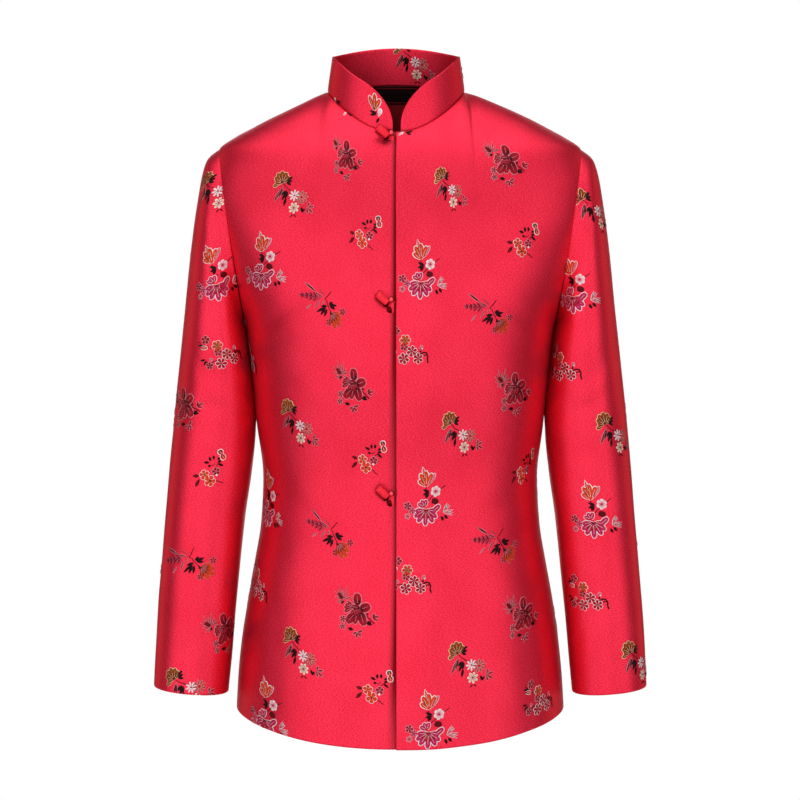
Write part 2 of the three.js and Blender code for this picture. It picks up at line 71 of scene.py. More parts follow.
WALL = 1.8
LABEL = {"width": 52, "top": 8.5, "bottom": -11.5, "thickness": 0.8, "clear": 0.5}
SECTION_POWER = 2.3
SLEEVE_POWER = 2.15
HEM = {"side": -677, "front_drop": 23, "back_drop": 10}
NECK = {"centre_x": -4.4, "half_width": 75, "front": 62, "back": 55, "front_drop": 43, "back_rise": 10}
COLLAR_TOP = {"half_width": 69.5, "front": 57, "back": 47, "side": 38.5, "front_z": 1, "back_z": 49}
COLLAR_CORNER = 38
COLLAR_ENDS = {"left": 0.5, "right": -8}
LAP = {"height": 3.0, "full": 30, "none": 70}
NECK_STEP = math.radians(15)
NECK_CELLS = 6
SHOULDER_CELLS = 7
SIDE_CELLS = 13
ARMHOLE_CELLS = 10
UNDERLAP_CELLS = 1
EDGE_FADE = 6
NECK_FADE = 4

# z, half the width, how far it reaches forward, and back
TORSO = np.array(
    [
        (12, 48, 6, 54), (6, 64, 9, 57), (0, 76, 14, 59), (-3.5, 86, 21, 61), (-13, 107, 36, 65),
        (-22, 126.5, 45, 69), (-31, 145, 52, 73), (-40, 162, 58.5, 77), (-49, 179, 65, 81),
        (-62, 197.5, 73, 86), (-82, 204.5, 82, 92), (-123, 206, 97, 101), (-152, 200, 105, 105),
        (-180, 193, 111, 106), (-208, 183.5, 116, 106), (-250, 169.5, 120, 104), (-315, 161.9, 118, 99),
        (-360, 157.6, 113, 95), (-421, 150.5, 108, 92), (-470, 153.5, 109, 95), (-513, 160.6, 112, 100),
        (-557, 168.3, 116, 106), (-600, 175, 120, 111), (-645, 179.5, 124, 116), (-700, 182.5, 128, 120),
    ],
    float,
)

# the sleeve's rings: outer x and z, inner x and z, half the depth, and how far the middle lies back
SLEEVE = np.array(
    [
        (197.5, -62, 169.5, -250, 52, 0), (210.5, -73.5, 170.3, -253, 54, 0),
        (216.5, -91, 170.6, -258, 56, 0), (221.2, -119, 170.3, -266, 58, -1),
        (227.2, -161, 169.3, -280, 59.5, -1), (234.5, -227, 166.2, -305, 58.5, -2),
        (240.3, -282, 162.8, -335, 55, -3), (246.2, -337, 160.6, -368, 51.5, -5),
        (251.8, -392, 164.3, -413, 48.5, -8), (256.6, -447, 170.2, -463, 46.5, -11),
        (261.3, -502, 175.6, -514, 44.8, -14), (266, -557, 181, -567, 43.2, -17),
        (269.4, -607, 185.3, -615, 42, -19), (271.6, -650, 189.3, -657, 41.3, -21),
    ],
    float,
)

# the valley that a seam leaves: a narrow one and a wide one, as depth and width, and how dark the painted
# shade along the seam's line is
SEAMS = {"sewn": ((0.85, 1.5), (0.35, 5), 0.6), "joined": ((0.3, 1.2), (0.2, 5), 0.2)}
# the width of the painted shade along a seam
SEAM_LINE = 1.0
# how much of the wall's thickness a folded edge curls in, and over what share of it
FOLD = {"curl": 0.42, "reach": 0.9}
# the cells that meet at a sleeve's own seam: their width, and the jump in flat place that marks them
SLEEVE_CELL, SEAM_JUMP = 8, 60
# flat place of the sleeve's outer fold
SLEEVE_FOLD = 262
# a sleeve's inner side hangs in against the body's side below the armhole: height and how far it moves in
SLEEVE_REST = np.array(
    [
        (-250, 0), (-254, 1.2), (-258, 2.5), (-266, 3.3), (-280, 4.2), (-305, 4.2), (-335, 3.7),
        (-350, 3.3), (-370, 1.6), (-413, 1.1), (-463, 0),
    ],
    float,
)
# the shadow that the left front's edge leaves on the right front: how dark, how far from the edge, how wide
EDGE_SHADE = {"dark": 0.92, "middle": 2.6, "width": 1.7}
# how the right front sinks under the left front's edge: how deep, over what width and how sharply
UNDER_EDGE = {"depth": 1.0, "width": 4.2, "power": 1.6}

# the knots: where they sit, their neck's length and how clear of the cloth it starts
KNOT = {"x": -14.7, "heights": (-50, -225, -431.5), "neck": 3.2, "clear": 0.6}
# the roll's middle from the knot's neck, its lean in degrees, its size and how much its lower end narrows
ROLL = {"x": -4.5, "z": 5.5, "out": 4.2, "lean": 43, "radius": 4.9, "length": 14.6, "narrow": 0.86}
STRAND = {"radius": 1.35, "length": 13.8}
# where the roll, the strand and the bulb lie from that middle: along the roll, towards its lower edge and
# deeper
PLACE = {"roll": (-0.2, -1.2, 0), "strand": (0.4, 4.4, 0.2), "bulb": (7.3, -6.4, -0.4)}
BULB_RADIUS, NECK_RADIUS = 2.9, 2.5
# the loop's cord's radius, and how far it and the fold stand out from the knot's foot, and the opening from
# the fold
LOOP = {"cord": 1.15, "cord_out": 1.3, "fold_out": 1.4, "hollow_out": 0.9}
# outlines seen from the front, x and z from the roll's middle: the loop's fold, and the opening in it, where
# a sheet is painted in shade
LOOP_FOLD = (
    (4.6, -8), (7.4, -4.6), (11, -2.6), (12.9, -4), (13.3, -8), (13, -12), (11.9, -15.6), (9.2, -13),
)
LOOP_HOLLOW = (
    (6.4, -7.9), (4.8, -10.2), (5.2, -13.0), (8.0, -15.0), (10.3, -14.4), (10.5, -10.8), (9.0, -7.6),
)
# where the painted shade on the sheet in the loop's opening is darkest, x and z from the roll's middle
HOLLOW_SHADE = (9.2, -14.0)
# the loop's cord round the knot's neck, x and z from the neck
LOOP_CORD = (
    (9.8, 2.0), (1.8, 3.2), (-1.0, 3.4), (-2.8, 2.0), (-3.2, -0.4), (-1.6, -2.4), (1.6, -4.2), (4.6, -5.6),
)

# Soft creases: a line over the cloth from one point to another, its width, and how deep it is. Each is
# mirrored to the other side.
CREASES = np.array(
    [
        (160, -62, -262, 96, -112, -214, 9, 1.3), (158, -66, -276, 104, -112, -262, 10, 1.5),
        (157, -60, -292, 112, -104, -318, 11, 1.3), (164, 62, -262, 110, 104, -205, 10, 1.6),
        (162, 62, -280, 104, 106, -270, 12, 1.8), (158, 50, -300, 118, 92, -340, 12, 1.5),
        (150, -40, -420, 96, -96, -452, 14, 1.2), (150, 40, -420, 90, 84, -440, 14, 1.6),
        (150, 42, -470, 70, 92, -410, 15, 1.4), (140, -92, -560, 146, -98, -680, 17, 1.6),
        (96, -116, -590, 100, -122, -690, 19, -1.3), (120, 98, -560, 126, 104, -680, 18, 2.0),
        (66, 116, -580, 70, 118, -690, 20, -1.6), (162, -30, -330, 214, -56, -300, 8, 1.6),
        (161, -34, -352, 210, -58, -338, 8, 1.7), (166, -30, -382, 206, -56, -392, 9, 1.3),
        (160, 34, -330, 216, 50, -306, 9, 1.8), (162, 34, -356, 216, 46, -350, 9, 2.0),
        (168, 30, -392, 216, 40, -410, 10, 1.5), (236, -50, -120, 246, -40, -330, 13, 1.2),
        (196, -62, -140, 204, -60, -250, 12, 1.1), (188, -50, -600, 214, -62, -560, 9, 0.9),
    ],
    float,
)

# how high the cloth swells beside a crease and how wide, as shares of the crease's own
CREASE_BANK = {"height": 0.45, "width": 2.1}

# ---------------------------------------------------------------- the cut surfaces


def curve_between(t, span, start, end, leave, arrive):
    """The smooth curve from one value to the next, with its slope at both ends; t runs from 0 to 1."""
    first = (1 + 2 * t) * (1 - t) ** 2 * start + t * (1 - t) ** 2 * span * leave
    return first + (t * t * (3 - 2 * t) * end + t * t * (t - 1) * span * arrive)


def smooth_reader(keys, values):
    """A smooth curve through a table's column that never overshoots it."""
    if keys[0] > keys[-1]:
        keys, values = keys[::-1], values[::-1]
    slopes = np.diff(values) / np.diff(keys)
    product = slopes[:-1] * slopes[1:]
    total = np.where(product > 0, slopes[:-1] + slopes[1:], 1)
    inner = np.where(product > 0, 2 * product / total, 0)
    tangents = np.concatenate([slopes[:1], inner, slopes[-1:]])

    def read(at):
        at = np.asarray(at, float)
        i = np.clip(np.searchsorted(keys, at, side="right") - 1, 0, len(keys) - 2)
        span = keys[i + 1] - keys[i]
        t = (at - keys[i]) / span
        return curve_between(t, span, values[i], values[i + 1], tangents[i], tangents[i + 1])

    return read


torso_width, torso_front, torso_back = (smooth_reader(TORSO[:, 0], TORSO[:, k]) for k in (1, 2, 3))
sleeve_move = smooth_reader(SLEEVE_REST[:, 0], SLEEVE_REST[:, 1])
sleeve_read = [smooth_reader(np.arange(len(SLEEVE), dtype=float), SLEEVE[:, k]) for k in range(6)]


def signed_power(value, power):
    return np.sign(value) * np.abs(value) ** power


def smoothstep(value, low, high):
    t = np.clip((value - low) / (high - low), 0, 1)
    return t * t * (3 - 2 * t)


def fall_off(distance, width):
    """1 on a line and nearly 0 at twice the width from it."""
    return np.exp(-((distance / width) ** 2))


def unit(v):
    return v / np.maximum(np.linalg.norm(v, axis=-1, keepdims=True), 1e-12)


def torso_y(x, z, back):
    """Where the body's surface lies in y, at x and z."""
    depth = torso_back(z) if back else torso_front(z)
    inside = np.clip(1 - np.abs(x / torso_width(z)) ** SECTION_POWER, 0, 1)
    return (depth if back else -depth) * inside ** (1 / SECTION_POWER)


def torso_reach(p):
    """1 on the body's surface, less inside it and more outside."""
    depth = np.where(p[..., 1] > 0, torso_back(p[..., 2]), torso_front(p[..., 2]))
    across = np.abs(p[..., 0] / torso_width(p[..., 2])) ** SECTION_POWER
    return (across + np.abs(p[..., 1] / depth) ** SECTION_POWER) ** (1 / SECTION_POWER)


def torso_slope(p):
    """How fast the reach grows in x, y and z."""
    step = 0.5
    moves = np.eye(3) * step
    return np.stack([(torso_reach(p + m) - torso_reach(p - m)) / (2 * step) for m in moves], axis=-1)


def onto_torso(p):
    """Moves points along the slope onto the body's surface."""
    for _ in range(4):
        slope = torso_slope(p)
        p = p + slope * ((1 - torso_reach(p)) / np.sum(slope * slope, axis=-1))[..., None]
    return p


def torso_normal(p):
    """The way out of the body, level in y at the side seams."""
    on_seam = np.abs(p[..., 1:2]) <= 0.3
    flat = np.where(on_seam, p * np.array([1, 0, 1]), p)
    slope = torso_slope(flat)
    return unit(np.where(on_seam, slope * np.array([1, 0, 1]), slope))


def neck_point(turn):
    """A point of the neckline; the turn starts at the wearer's left and runs by the front."""
    across = np.sin(turn)
    depth = np.where(across > 0, NECK["front"], NECK["back"])
    rise = np.where(across > 0, -NECK["front_drop"], NECK["back_rise"])
    x = NECK["centre_x"] + NECK["half_width"] * np.cos(turn)
    return np.stack([x, -depth * across, rise * across**2], axis=-1)


def collar_top_point(turn):
    """A point of the collar's upper edge, over the neckline's point."""
    across = np.sin(turn)
    depth = np.where(across > 0, COLLAR_TOP["front"], COLLAR_TOP["back"])
    end = np.where(across > 0, COLLAR_TOP["front_z"], COLLAR_TOP["back_z"])
    x = NECK["centre_x"] + COLLAR_TOP["half_width"] * np.cos(turn)
    z = COLLAR_TOP["side"] + (end - COLLAR_TOP["side"]) * across**2
    return np.stack([x, -depth * across, z], axis=-1)


def lap_shift(x):
    """How far the left front stands forward of the body's surface where it laps over the right one."""
    return -LAP["height"] * (1 - smoothstep(x, LAP["full"], LAP["none"]))


def sleeve_point(ring, turn):
    """A point of the left sleeve on one of its rings, which start at the armhole."""
    outer_x, outer_z, inner_x, inner_z, depth, middle = (read(ring) for read in sleeve_read)
    bend = 2 / SLEEVE_POWER
    c, s = signed_power(np.cos(turn), bend), signed_power(np.sin(turn), bend)
    x = (outer_x + inner_x) / 2 + (outer_x - inner_x) / 2 * c
    z = (outer_z + inner_z) / 2 + (outer_z - inner_z) / 2 * c
    return np.stack([x, middle - depth * s, z], axis=-1)


# ---------------------------------------------------------------- sewn panels as grids of points


# how far from an edge the extra rows of points lie
CLOSE_TO_EDGE = (0.3, 0.8, 1.6, 2.8)
# rows of points to a cell, the cells' usual sizes, and the points round a sleeve
BODY_POINTS = {"cell": 4, "width": 19, "height": 30}
SLEEVE_POINTS = {"cell": 7, "height": 45, "round": 56}
COLLAR_MIDDLE_POINTS = 96
LABEL_POINTS = (40, 18)


def stations(cells, per_cell, cell_size):
    """Places along a panel, in its cells, with more of them next to both edges."""
    places = np.linspace(0, cells, cells * per_cell + 1)
    close = [d / cell_size for d in CLOSE_TO_EDGE]
    inside = (places > close[-1] * 1.25) & (places < cells - close[-1] * 1.25)
    return np.array(sorted([0, cells, *places[inside], *close, *(cells - c for c in close)]))


def side_edge(rows, side, back):
    """The side seam up to the armhole, then the armhole up to the shoulder."""
    armpit = sleeve_point(0.0, math.pi)[2]
    z = HEM["side"] + (armpit - HEM["side"]) * np.minimum(rows, SIDE_CELLS) / SIDE_CELLS
    seam = np.stack([torso_width(z), np.zeros_like(z), z], axis=-1)
    turn = math.pi * (1 - np.clip(rows - SIDE_CELLS, 0, ARMHOLE_CELLS) / ARMHOLE_CELLS)
    armhole = sleeve_point(np.zeros_like(turn), turn)
    armhole[:, 1] = (1 if back else -1) * np.abs(armhole[:, 1])
    edge = np.where((rows < SIDE_CELLS)[:, None], seam, armhole)
    return edge * np.array([side, 1, 1])


def top_edge(places, side, back, neck_cells, corner):
    """The neckline from the centre to the side of the neck, then the shoulder seam."""
    from_side = (-1 if back else 1) * (neck_cells - places) * NECK_STEP
    neck = neck_point(from_side if side > 0 else math.pi - from_side)
    neck_side = neck_point(0 if side > 0 else math.pi)
    t = np.clip((places - neck_cells) / SHOULDER_CELLS, 0, 1)
    z = neck_side[2] + (corner[2] - neck_side[2]) * t
    fit = (abs(neck_side[0]) - torso_width(neck_side[2])) * (1 - t) ** NECK_FADE
    shoulder = np.stack([side * (torso_width(z) + fit), np.zeros_like(z), z], axis=-1)
    shoulder[t >= 1] = corner
    return np.where((places < neck_cells)[:, None], neck, shoulder)


def hem_edge(places, cells, side, back, edge_x):
    """The hem from the centre edge round to the side seam."""
    width = torso_width(HEM["side"] - HEM["front_drop"])
    start = math.acos(signed_power(side * edge_x / width, SECTION_POWER / 2))
    turn = start * (1 - places / cells)
    z = HEM["side"] - (HEM["back_drop"] if back else HEM["front_drop"]) * np.sin(turn) ** 2
    bend = 2 / SECTION_POWER
    y = (torso_back(z) if back else torso_front(z)) * signed_power(np.sin(turn), bend)
    x = side * torso_width(z) * signed_power(np.cos(turn), bend)
    x[0] = edge_x
    return np.stack([x, y if back else -y, z], axis=-1)


def half_panel(side, back, edge_x, neck_cells):
    """Half of the body: its four edges filled in between and laid onto the torso's surface."""
    cells, rows = neck_cells + SHOULDER_CELLS, SIDE_CELLS + ARMHOLE_CELLS
    at_c = stations(cells, BODY_POINTS["cell"], BODY_POINTS["width"])
    at_r = stations(rows, BODY_POINTS["cell"], BODY_POINTS["height"])
    sides = side_edge(at_r, side, back)
    top = top_edge(at_c, side, back, neck_cells, sides[-1])
    hem = hem_edge(at_c, cells, side, back, edge_x)
    hem[-1] = sides[0]
    a, b = at_c / cells, at_r / rows
    z = hem[0, 2] + (top[0, 2] - hem[0, 2]) * b
    miss = top[0, 1] - torso_y(edge_x, top[0, 2], back)
    centre = np.stack([np.full_like(z, edge_x), torso_y(edge_x, z, back) + miss * b**EDGE_FADE, z], axis=-1)
    centre[0], centre[-1] = hem[0], top[0]

    a, b = a[:, None, None], b[None, :, None]
    filled = centre[None] * (1 - a) + sides[None] * a + hem[:, None] * (1 - b) + top[:, None] * b
    filled -= (1 - a) * (1 - b) * hem[0] + a * (1 - b) * hem[-1] + (1 - a) * b * top[0] + a * b * sides[-1]
    lift = onto_torso(filled) - filled
    a, b = a**EDGE_FADE, b**EDGE_FADE
    grid = filled + lift - lift[-1:] * a - lift[:, -1:] * b + lift[-1:, -1:] * a * b
    grid[0], grid[-1], grid[:, 0], grid[:, -1] = centre, sides, hem, top
    return grid


def grid_normals(grid, ring=False):
    """The way out of the cloth at each point of a grid."""
    if ring:
        across = np.roll(grid, -1, axis=0) - np.roll(grid, 1, axis=0)
    else:
        across = np.concatenate([grid[1:2] - grid[:1], grid[2:] - grid[:-2], grid[-1:] - grid[-2:-1]])
    down = np.concatenate(
        [grid[:, 1:2] - grid[:, :1], grid[:, 2:] - grid[:, :-2], grid[:, -1:] - grid[:, -2:-1]], axis=1
    )
    return unit(np.cross(across, down))


def lengths(grid, axis):
    """Distance run along one axis of the grid from its start."""
    steps = np.linalg.norm(np.diff(grid, axis=axis), axis=-1)
    zero = np.zeros_like(np.take(steps, [0], axis=axis))
    return np.concatenate([zero, np.cumsum(steps, axis=axis)], axis=axis)


def crease_depth(p):
    """How far the cloth sinks along its normal at each point, from the table of creases."""
    depth = np.zeros(p.shape[:-1])
    for row in CREASES:
        for side in (1, -1):
            start, end = row[:3] * (side, 1, 1), row[3:6] * (side, 1, 1)
            along = end - start
            t = np.sum((p - start) * along, axis=-1) / np.dot(along, along)
            off = np.linalg.norm(p - (start + np.clip(t, 0, 1)[..., None] * along), axis=-1)
            bank = CREASE_BANK["height"] * fall_off(off, CREASE_BANK["width"] * row[6])
            depth += row[7] * (fall_off(off, row[6]) - bank)
    return depth


def ripple(p):
    """Slow unevenness of the cloth, in millimetres."""
    x, y, z = p[..., 0], p[..., 1], p[..., 2]
    slow = np.sin(x / 23 + 1.3 * np.sin(z / 61)) * np.sin(z / 47 + y / 31)
    fine = np.sin(z / 13 + x / 17) * np.sin(x / 11 - y / 14 + 2)
    return 0.32 * slow + 0.1 * fine


def new_piece(name, points, faces, *materials):
    """A smooth mesh in the scene, made from points in millimetres."""
    mesh = bpy.data.meshes.new(name)
    mesh.from_pydata((np.array(points) * MM).tolist(), [], faces)
    mesh.polygons.foreach_set("use_smooth", [True] * len(faces))
    for material in materials:
        mesh.materials.append(material)
    piece = bpy.data.objects.new(name, mesh)
    bpy.context.scene.collection.objects.link(piece)
    return piece


class Cloth:
    """One cut piece: its outer points, normals, thickness profile and flat coordinates."""

    def __init__(self, grid, outward, edges, ring=False, wall=WALL, soft=1.0):
        self.ring = ring
        normals = grid_normals(grid, ring)
        if np.sum(normals * outward(grid)) < 0:
            normals = -normals
        grid = grid + normals * (soft * (ripple(grid) - crease_depth(grid)))[..., None]
        self.normals = normals
        self.across, self.down = lengths(grid, 0), lengths(grid, 1)
        distance = {
            "start": self.across,
            "end": self.across[-1:] - self.across,
            "bottom": self.down,
            "top": self.down[:, -1:] - self.down,
        }
        sink, rise, self.shade = np.zeros((3, *grid.shape[:-1]))
        for edge, kind in edges.items():
            d = distance[edge]
            if kind == "folded":
                near_edge = np.clip(1 - d / (FOLD["reach"] * wall), 0, 1)
                curl = FOLD["curl"] * wall * (1 - np.sqrt(1 - near_edge**2))
                sink, rise = np.maximum(sink, curl), np.maximum(rise, curl)
            else:
                narrow, wide, dark = SEAMS[kind]
                sink = np.maximum(sink, sum(depth * fall_off(d, width) for depth, width in (narrow, wide)))
                # painted shade along the seam's line
                self.shade = np.maximum(self.shade, dark * fall_off(d, SEAM_LINE))
        self.outer = grid - normals * sink[..., None]
        self.inner = grid - normals * (wall - rise)[..., None]

    def flat(self, u, v):
        """Sets the piece's flat coordinates, in millimetres."""
        self.u, self.v = u, v
        return self

    def mesh(self, name, outside, inside):
        """A closed wall with the outside and inside finish, and a UV map of its flat coordinates."""
        columns, rows = self.outer.shape[:2]
        count = columns * rows
        faces, finish = [], []
        for c in range(columns if self.ring else columns - 1):
            here, there = c * rows, (c + 1) % columns * rows
            for r in range(rows - 1):
                quad = [here + r, there + r, there + r + 1, here + r + 1]
                faces += [quad, [q + count for q in reversed(quad)]]
                finish += [0, 1]
            for r in (0, rows - 1):
                strip = [here + r, there + r, there + r + count, here + r + count]
                faces.append(strip if r else strip[::-1])
                finish.append(0)
        for c in () if self.ring else (0, columns - 1):
            for spot in range(c * rows, (c + 1) * rows - 1):
                strip = [spot, spot + 1, spot + 1 + count, spot + count]
                faces.append(strip[::-1] if c else strip)
                finish.append(0)
        points = np.concatenate([self.outer.reshape(-1, 3), self.inner.reshape(-1, 3)])
        piece = new_piece(name, points, faces, outside, inside)
        mesh = piece.data
        if mesh.polygons[0].normal.dot(Vector(self.normals[0, 0])) < 0:
            mesh.flip_normals()
        mesh.polygons.foreach_set("material_index", finish)
        uv = np.stack([np.tile(self.u.reshape(-1), 2), np.tile(self.v.reshape(-1), 2)], axis=-1) * MM
        corners = np.empty(len(mesh.loops), int)
        mesh.loops.foreach_get("vertex_index", corners)
        at_corners = uv[corners].reshape(-1, 4, 2)
        across = at_corners[..., 0]
        over_seam = np.ptp(across, axis=1, keepdims=True) > SEAM_JUMP * MM
        beyond = across.max(axis=1, keepdims=True) + SLEEVE_CELL * MM
        at_corners[..., 0] = np.where(over_seam & (across < beyond / 2), beyond, across)
        mesh.uv_layers.new(name="cloth").data.foreach_set("uv", at_corners.reshape(-1))
        # the painted shade of seams and of the left front's edge, kept for the satin
        layer = mesh.attributes.new("shade", "FLOAT", "POINT")
        layer.data.foreach_set("value", np.tile(self.shade.reshape(-1), 2))
        return piece

    def area(self):
        grid = np.concatenate([self.outer, self.outer[:1]]) if self.ring else self.outer
        a = np.diff(grid, axis=0)[:, :-1]
        b = np.diff(grid, axis=1)[:-1]
        return float(np.sum(np.linalg.norm(np.cross(a, b), axis=-1))) * MM * MM


UNDERLAP_EDGE = float(neck_point(math.pi / 2 - UNDERLAP_CELLS * NECK_STEP)[0])


def front_piece(side):
    """Half the front; the right one runs on under the left one, and sinks where the left one lies on it."""
    edge_x = NECK["centre_x"] if side > 0 else UNDERLAP_EDGE
    grid = half_panel(side, False, edge_x, NECK_CELLS + (0 if side > 0 else UNDERLAP_CELLS))
    if side > 0:
        grid[..., 1] += lap_shift(grid[..., 0])
    else:
        from_edge = np.clip((NECK["centre_x"] + 1 - grid[..., 0]) / UNDER_EDGE["width"], 0, None)
        grid[..., 1] += UNDER_EDGE["depth"] * np.exp(-(from_edge ** UNDER_EDGE["power"]))
    kinds = {"start": "folded", "end": "joined", "bottom": "folded", "top": "sewn"}
    cloth = Cloth(grid, torso_normal, kinds)
    # the right front gets a painted shadow beside the left front's edge
    if side < 0:
        beside = np.clip(NECK["centre_x"] - EDGE_SHADE["middle"] - grid[..., 0], 0, None)
        cloth.shade = np.maximum(cloth.shade, EDGE_SHADE["dark"] * fall_off(beside, EDGE_SHADE["width"]))
    return cloth.flat(edge_x + side * cloth.across, cloth.down + HEM["side"] - HEM["front_drop"])


def back_piece():
    """Both halves of the back in one, without the close columns that each half has at its centre edge."""
    halves = [half_panel(side, True, NECK["centre_x"], NECK_CELLS) for side in (-1, 1)]
    right, left = (np.delete(half, range(1, 1 + len(CLOSE_TO_EDGE)), axis=0) for half in halves)
    grid = np.concatenate([right[:0:-1], left])
    kinds = {"start": "joined", "end": "joined", "bottom": "folded", "top": "sewn"}
    cloth = Cloth(grid, torso_normal, kinds)
    middle = len(right) - 1
    across = cloth.across - cloth.across[middle]
    return cloth.flat(NECK["centre_x"] + across, cloth.down + HEM["side"] - HEM["back_drop"])


def round_sleeve(grid):
    """Distance round a sleeve from its outer fold to each point, measured at that point's own height."""
    count = len(grid)
    run = np.zeros(grid.shape[:2])
    for way in (1, -1):
        for k in range(1, count // 2 + 1):
            height = grid[way * k % count, :, 2]
            line = []
            for j in range(k + 1):
                column = grid[way * j % count, ::-1]
                line.append([np.interp(height, column[:, 2], column[:, axis]) for axis in (0, 1)])
            steps = np.diff(np.array(line), axis=0)
            run[way * k % count] = way * np.sqrt((steps**2).sum(axis=1)).sum(axis=0)
    run[count // 2] = np.abs(run[count // 2])
    return run


def rest_on_side(grid):
    """How much nearer each point of the left sleeve lies where its inner side rests against the body."""
    middle, nearest = grid[..., 0].mean(axis=0), grid[..., 0].min(axis=0)
    inner = np.clip((middle - grid[..., 0]) / (middle - nearest), 0, 1)
    height = np.clip(grid[..., 2], SLEEVE_REST[-1, 0], SLEEVE_REST[0, 0])
    return inner * sleeve_move(height)


def sleeve_piece(side):
    """One sleeve as a ring of columns, from the armhole to the cuff."""
    rings = len(SLEEVE) - 1
    at_ring = stations(rings, SLEEVE_POINTS["cell"], SLEEVE_POINTS["height"])
    at_turn = np.linspace(0, 2 * math.pi, SLEEVE_POINTS["round"] + 1)[:-1]
    grid = sleeve_point(at_ring[None, :], at_turn[:, None])
    grid[..., 0] -= rest_on_side(grid)
    grid = grid * np.array([side, 1, 1])
    middle = grid.mean(axis=0, keepdims=True)
    cloth = Cloth(grid, lambda g: g - middle, {"top": "folded", "bottom": "joined"}, ring=True)
    return cloth.flat(side * (SLEEVE_FOLD - round_sleeve(grid)), grid[..., 2])


# the collar's close points: from its ends, and as shares of its height
COLLAR_END_POINTS = np.array([0, 0.25, 0.7, 1.5, 2.8, 4.6, 7, 10, 13.5, 17.5, 22])
COLLAR_ROWS = np.array(
    [-0.032, 0, 0.008, 0.025, 0.06, 0.12, 0.2, 0.32, 0.44, 0.56, 0.68, 0.8, 0.88, 0.94, 0.97, 0.988, 1]
)


def collar_piece():
    """The stand collar, with rounded front corners, its left end lapped over the right."""
    per_cell = NECK["half_width"] * math.sin(NECK_STEP)
    left_end = NECK_CELLS - (COLLAR_ENDS["left"] - NECK["centre_x"]) / per_cell
    right_end = -3 * NECK_CELLS + (NECK["centre_x"] - COLLAR_ENDS["right"]) / per_cell
    near = COLLAR_END_POINTS / per_cell
    middle = np.linspace(right_end + near[-1], left_end - near[-1], COLLAR_MIDDLE_POINTS)
    places = np.concatenate([right_end + near[:-1], middle, (left_end - near[:-1])[::-1]])
    turn = places * NECK_STEP
    base, top = neck_point(turn), collar_top_point(turn)
    onto_left = np.where(places > 0, lap_shift(base[:, 0]), 0)
    from_end = np.minimum(left_end - places, places - right_end) * per_cell
    in_corner = np.clip(COLLAR_CORNER - from_end, 0, COLLAR_CORNER)
    height = np.linalg.norm(top - base, axis=-1)
    cut = COLLAR_CORNER - np.sqrt(COLLAR_CORNER**2 - in_corner**2)
    t = COLLAR_ROWS[None, :] * (1 - cut / height)[:, None]
    grid = base[:, None] + (top - base)[:, None] * t[..., None]
    grid[..., 1] += onto_left[:, None]
    centre = np.array([NECK["centre_x"], 0, 0])

    def outward(g):
        return (g - centre) * np.array([1, 1, 0])

    kinds = {"start": "folded", "end": "folded", "bottom": "sewn", "top": "folded"}
    cloth = Cloth(grid, outward, kinds, soft=0.25)
    around = cloth.across[:, :1] - cloth.across[len(places) // 2, 0]
    return cloth.flat(np.broadcast_to(around, cloth.down.shape), cloth.down)


def label_piece():
    """A flat label inside the back neck."""
    x = NECK["centre_x"] + LABEL["width"] * np.linspace(-0.5, 0.5, LABEL_POINTS[0])
    z = np.linspace(LABEL["bottom"], LABEL["top"], LABEL_POINTS[1])
    x, z = np.meshgrid(x, z, indexing="ij")
    p = np.stack([x, torso_y(x, z, True), z], axis=-1)
    inward = -torso_normal(p)
    grid = p + inward * (WALL + LABEL["clear"])
    kinds = {edge: "folded" for edge in ("start", "end", "bottom", "top")}
    cloth = Cloth(grid, torso_normal, kinds, wall=LABEL["thickness"], soft=0)
    return cloth.flat(x - NECK["centre_x"], z - LABEL["bottom"])


# ---------------------------------------------------------------- finishes


def srgb(red, green, blue):
    """A colour given as it looks on a screen, from 0 to 255, as Blender counts it."""
    shares = (red / 255, green / 255, blue / 255)
    return (*(c / 12.92 if c <= 0.04045 else ((c + 0.055) / 1.055) ** 2.4 for c in shares), 1.0)


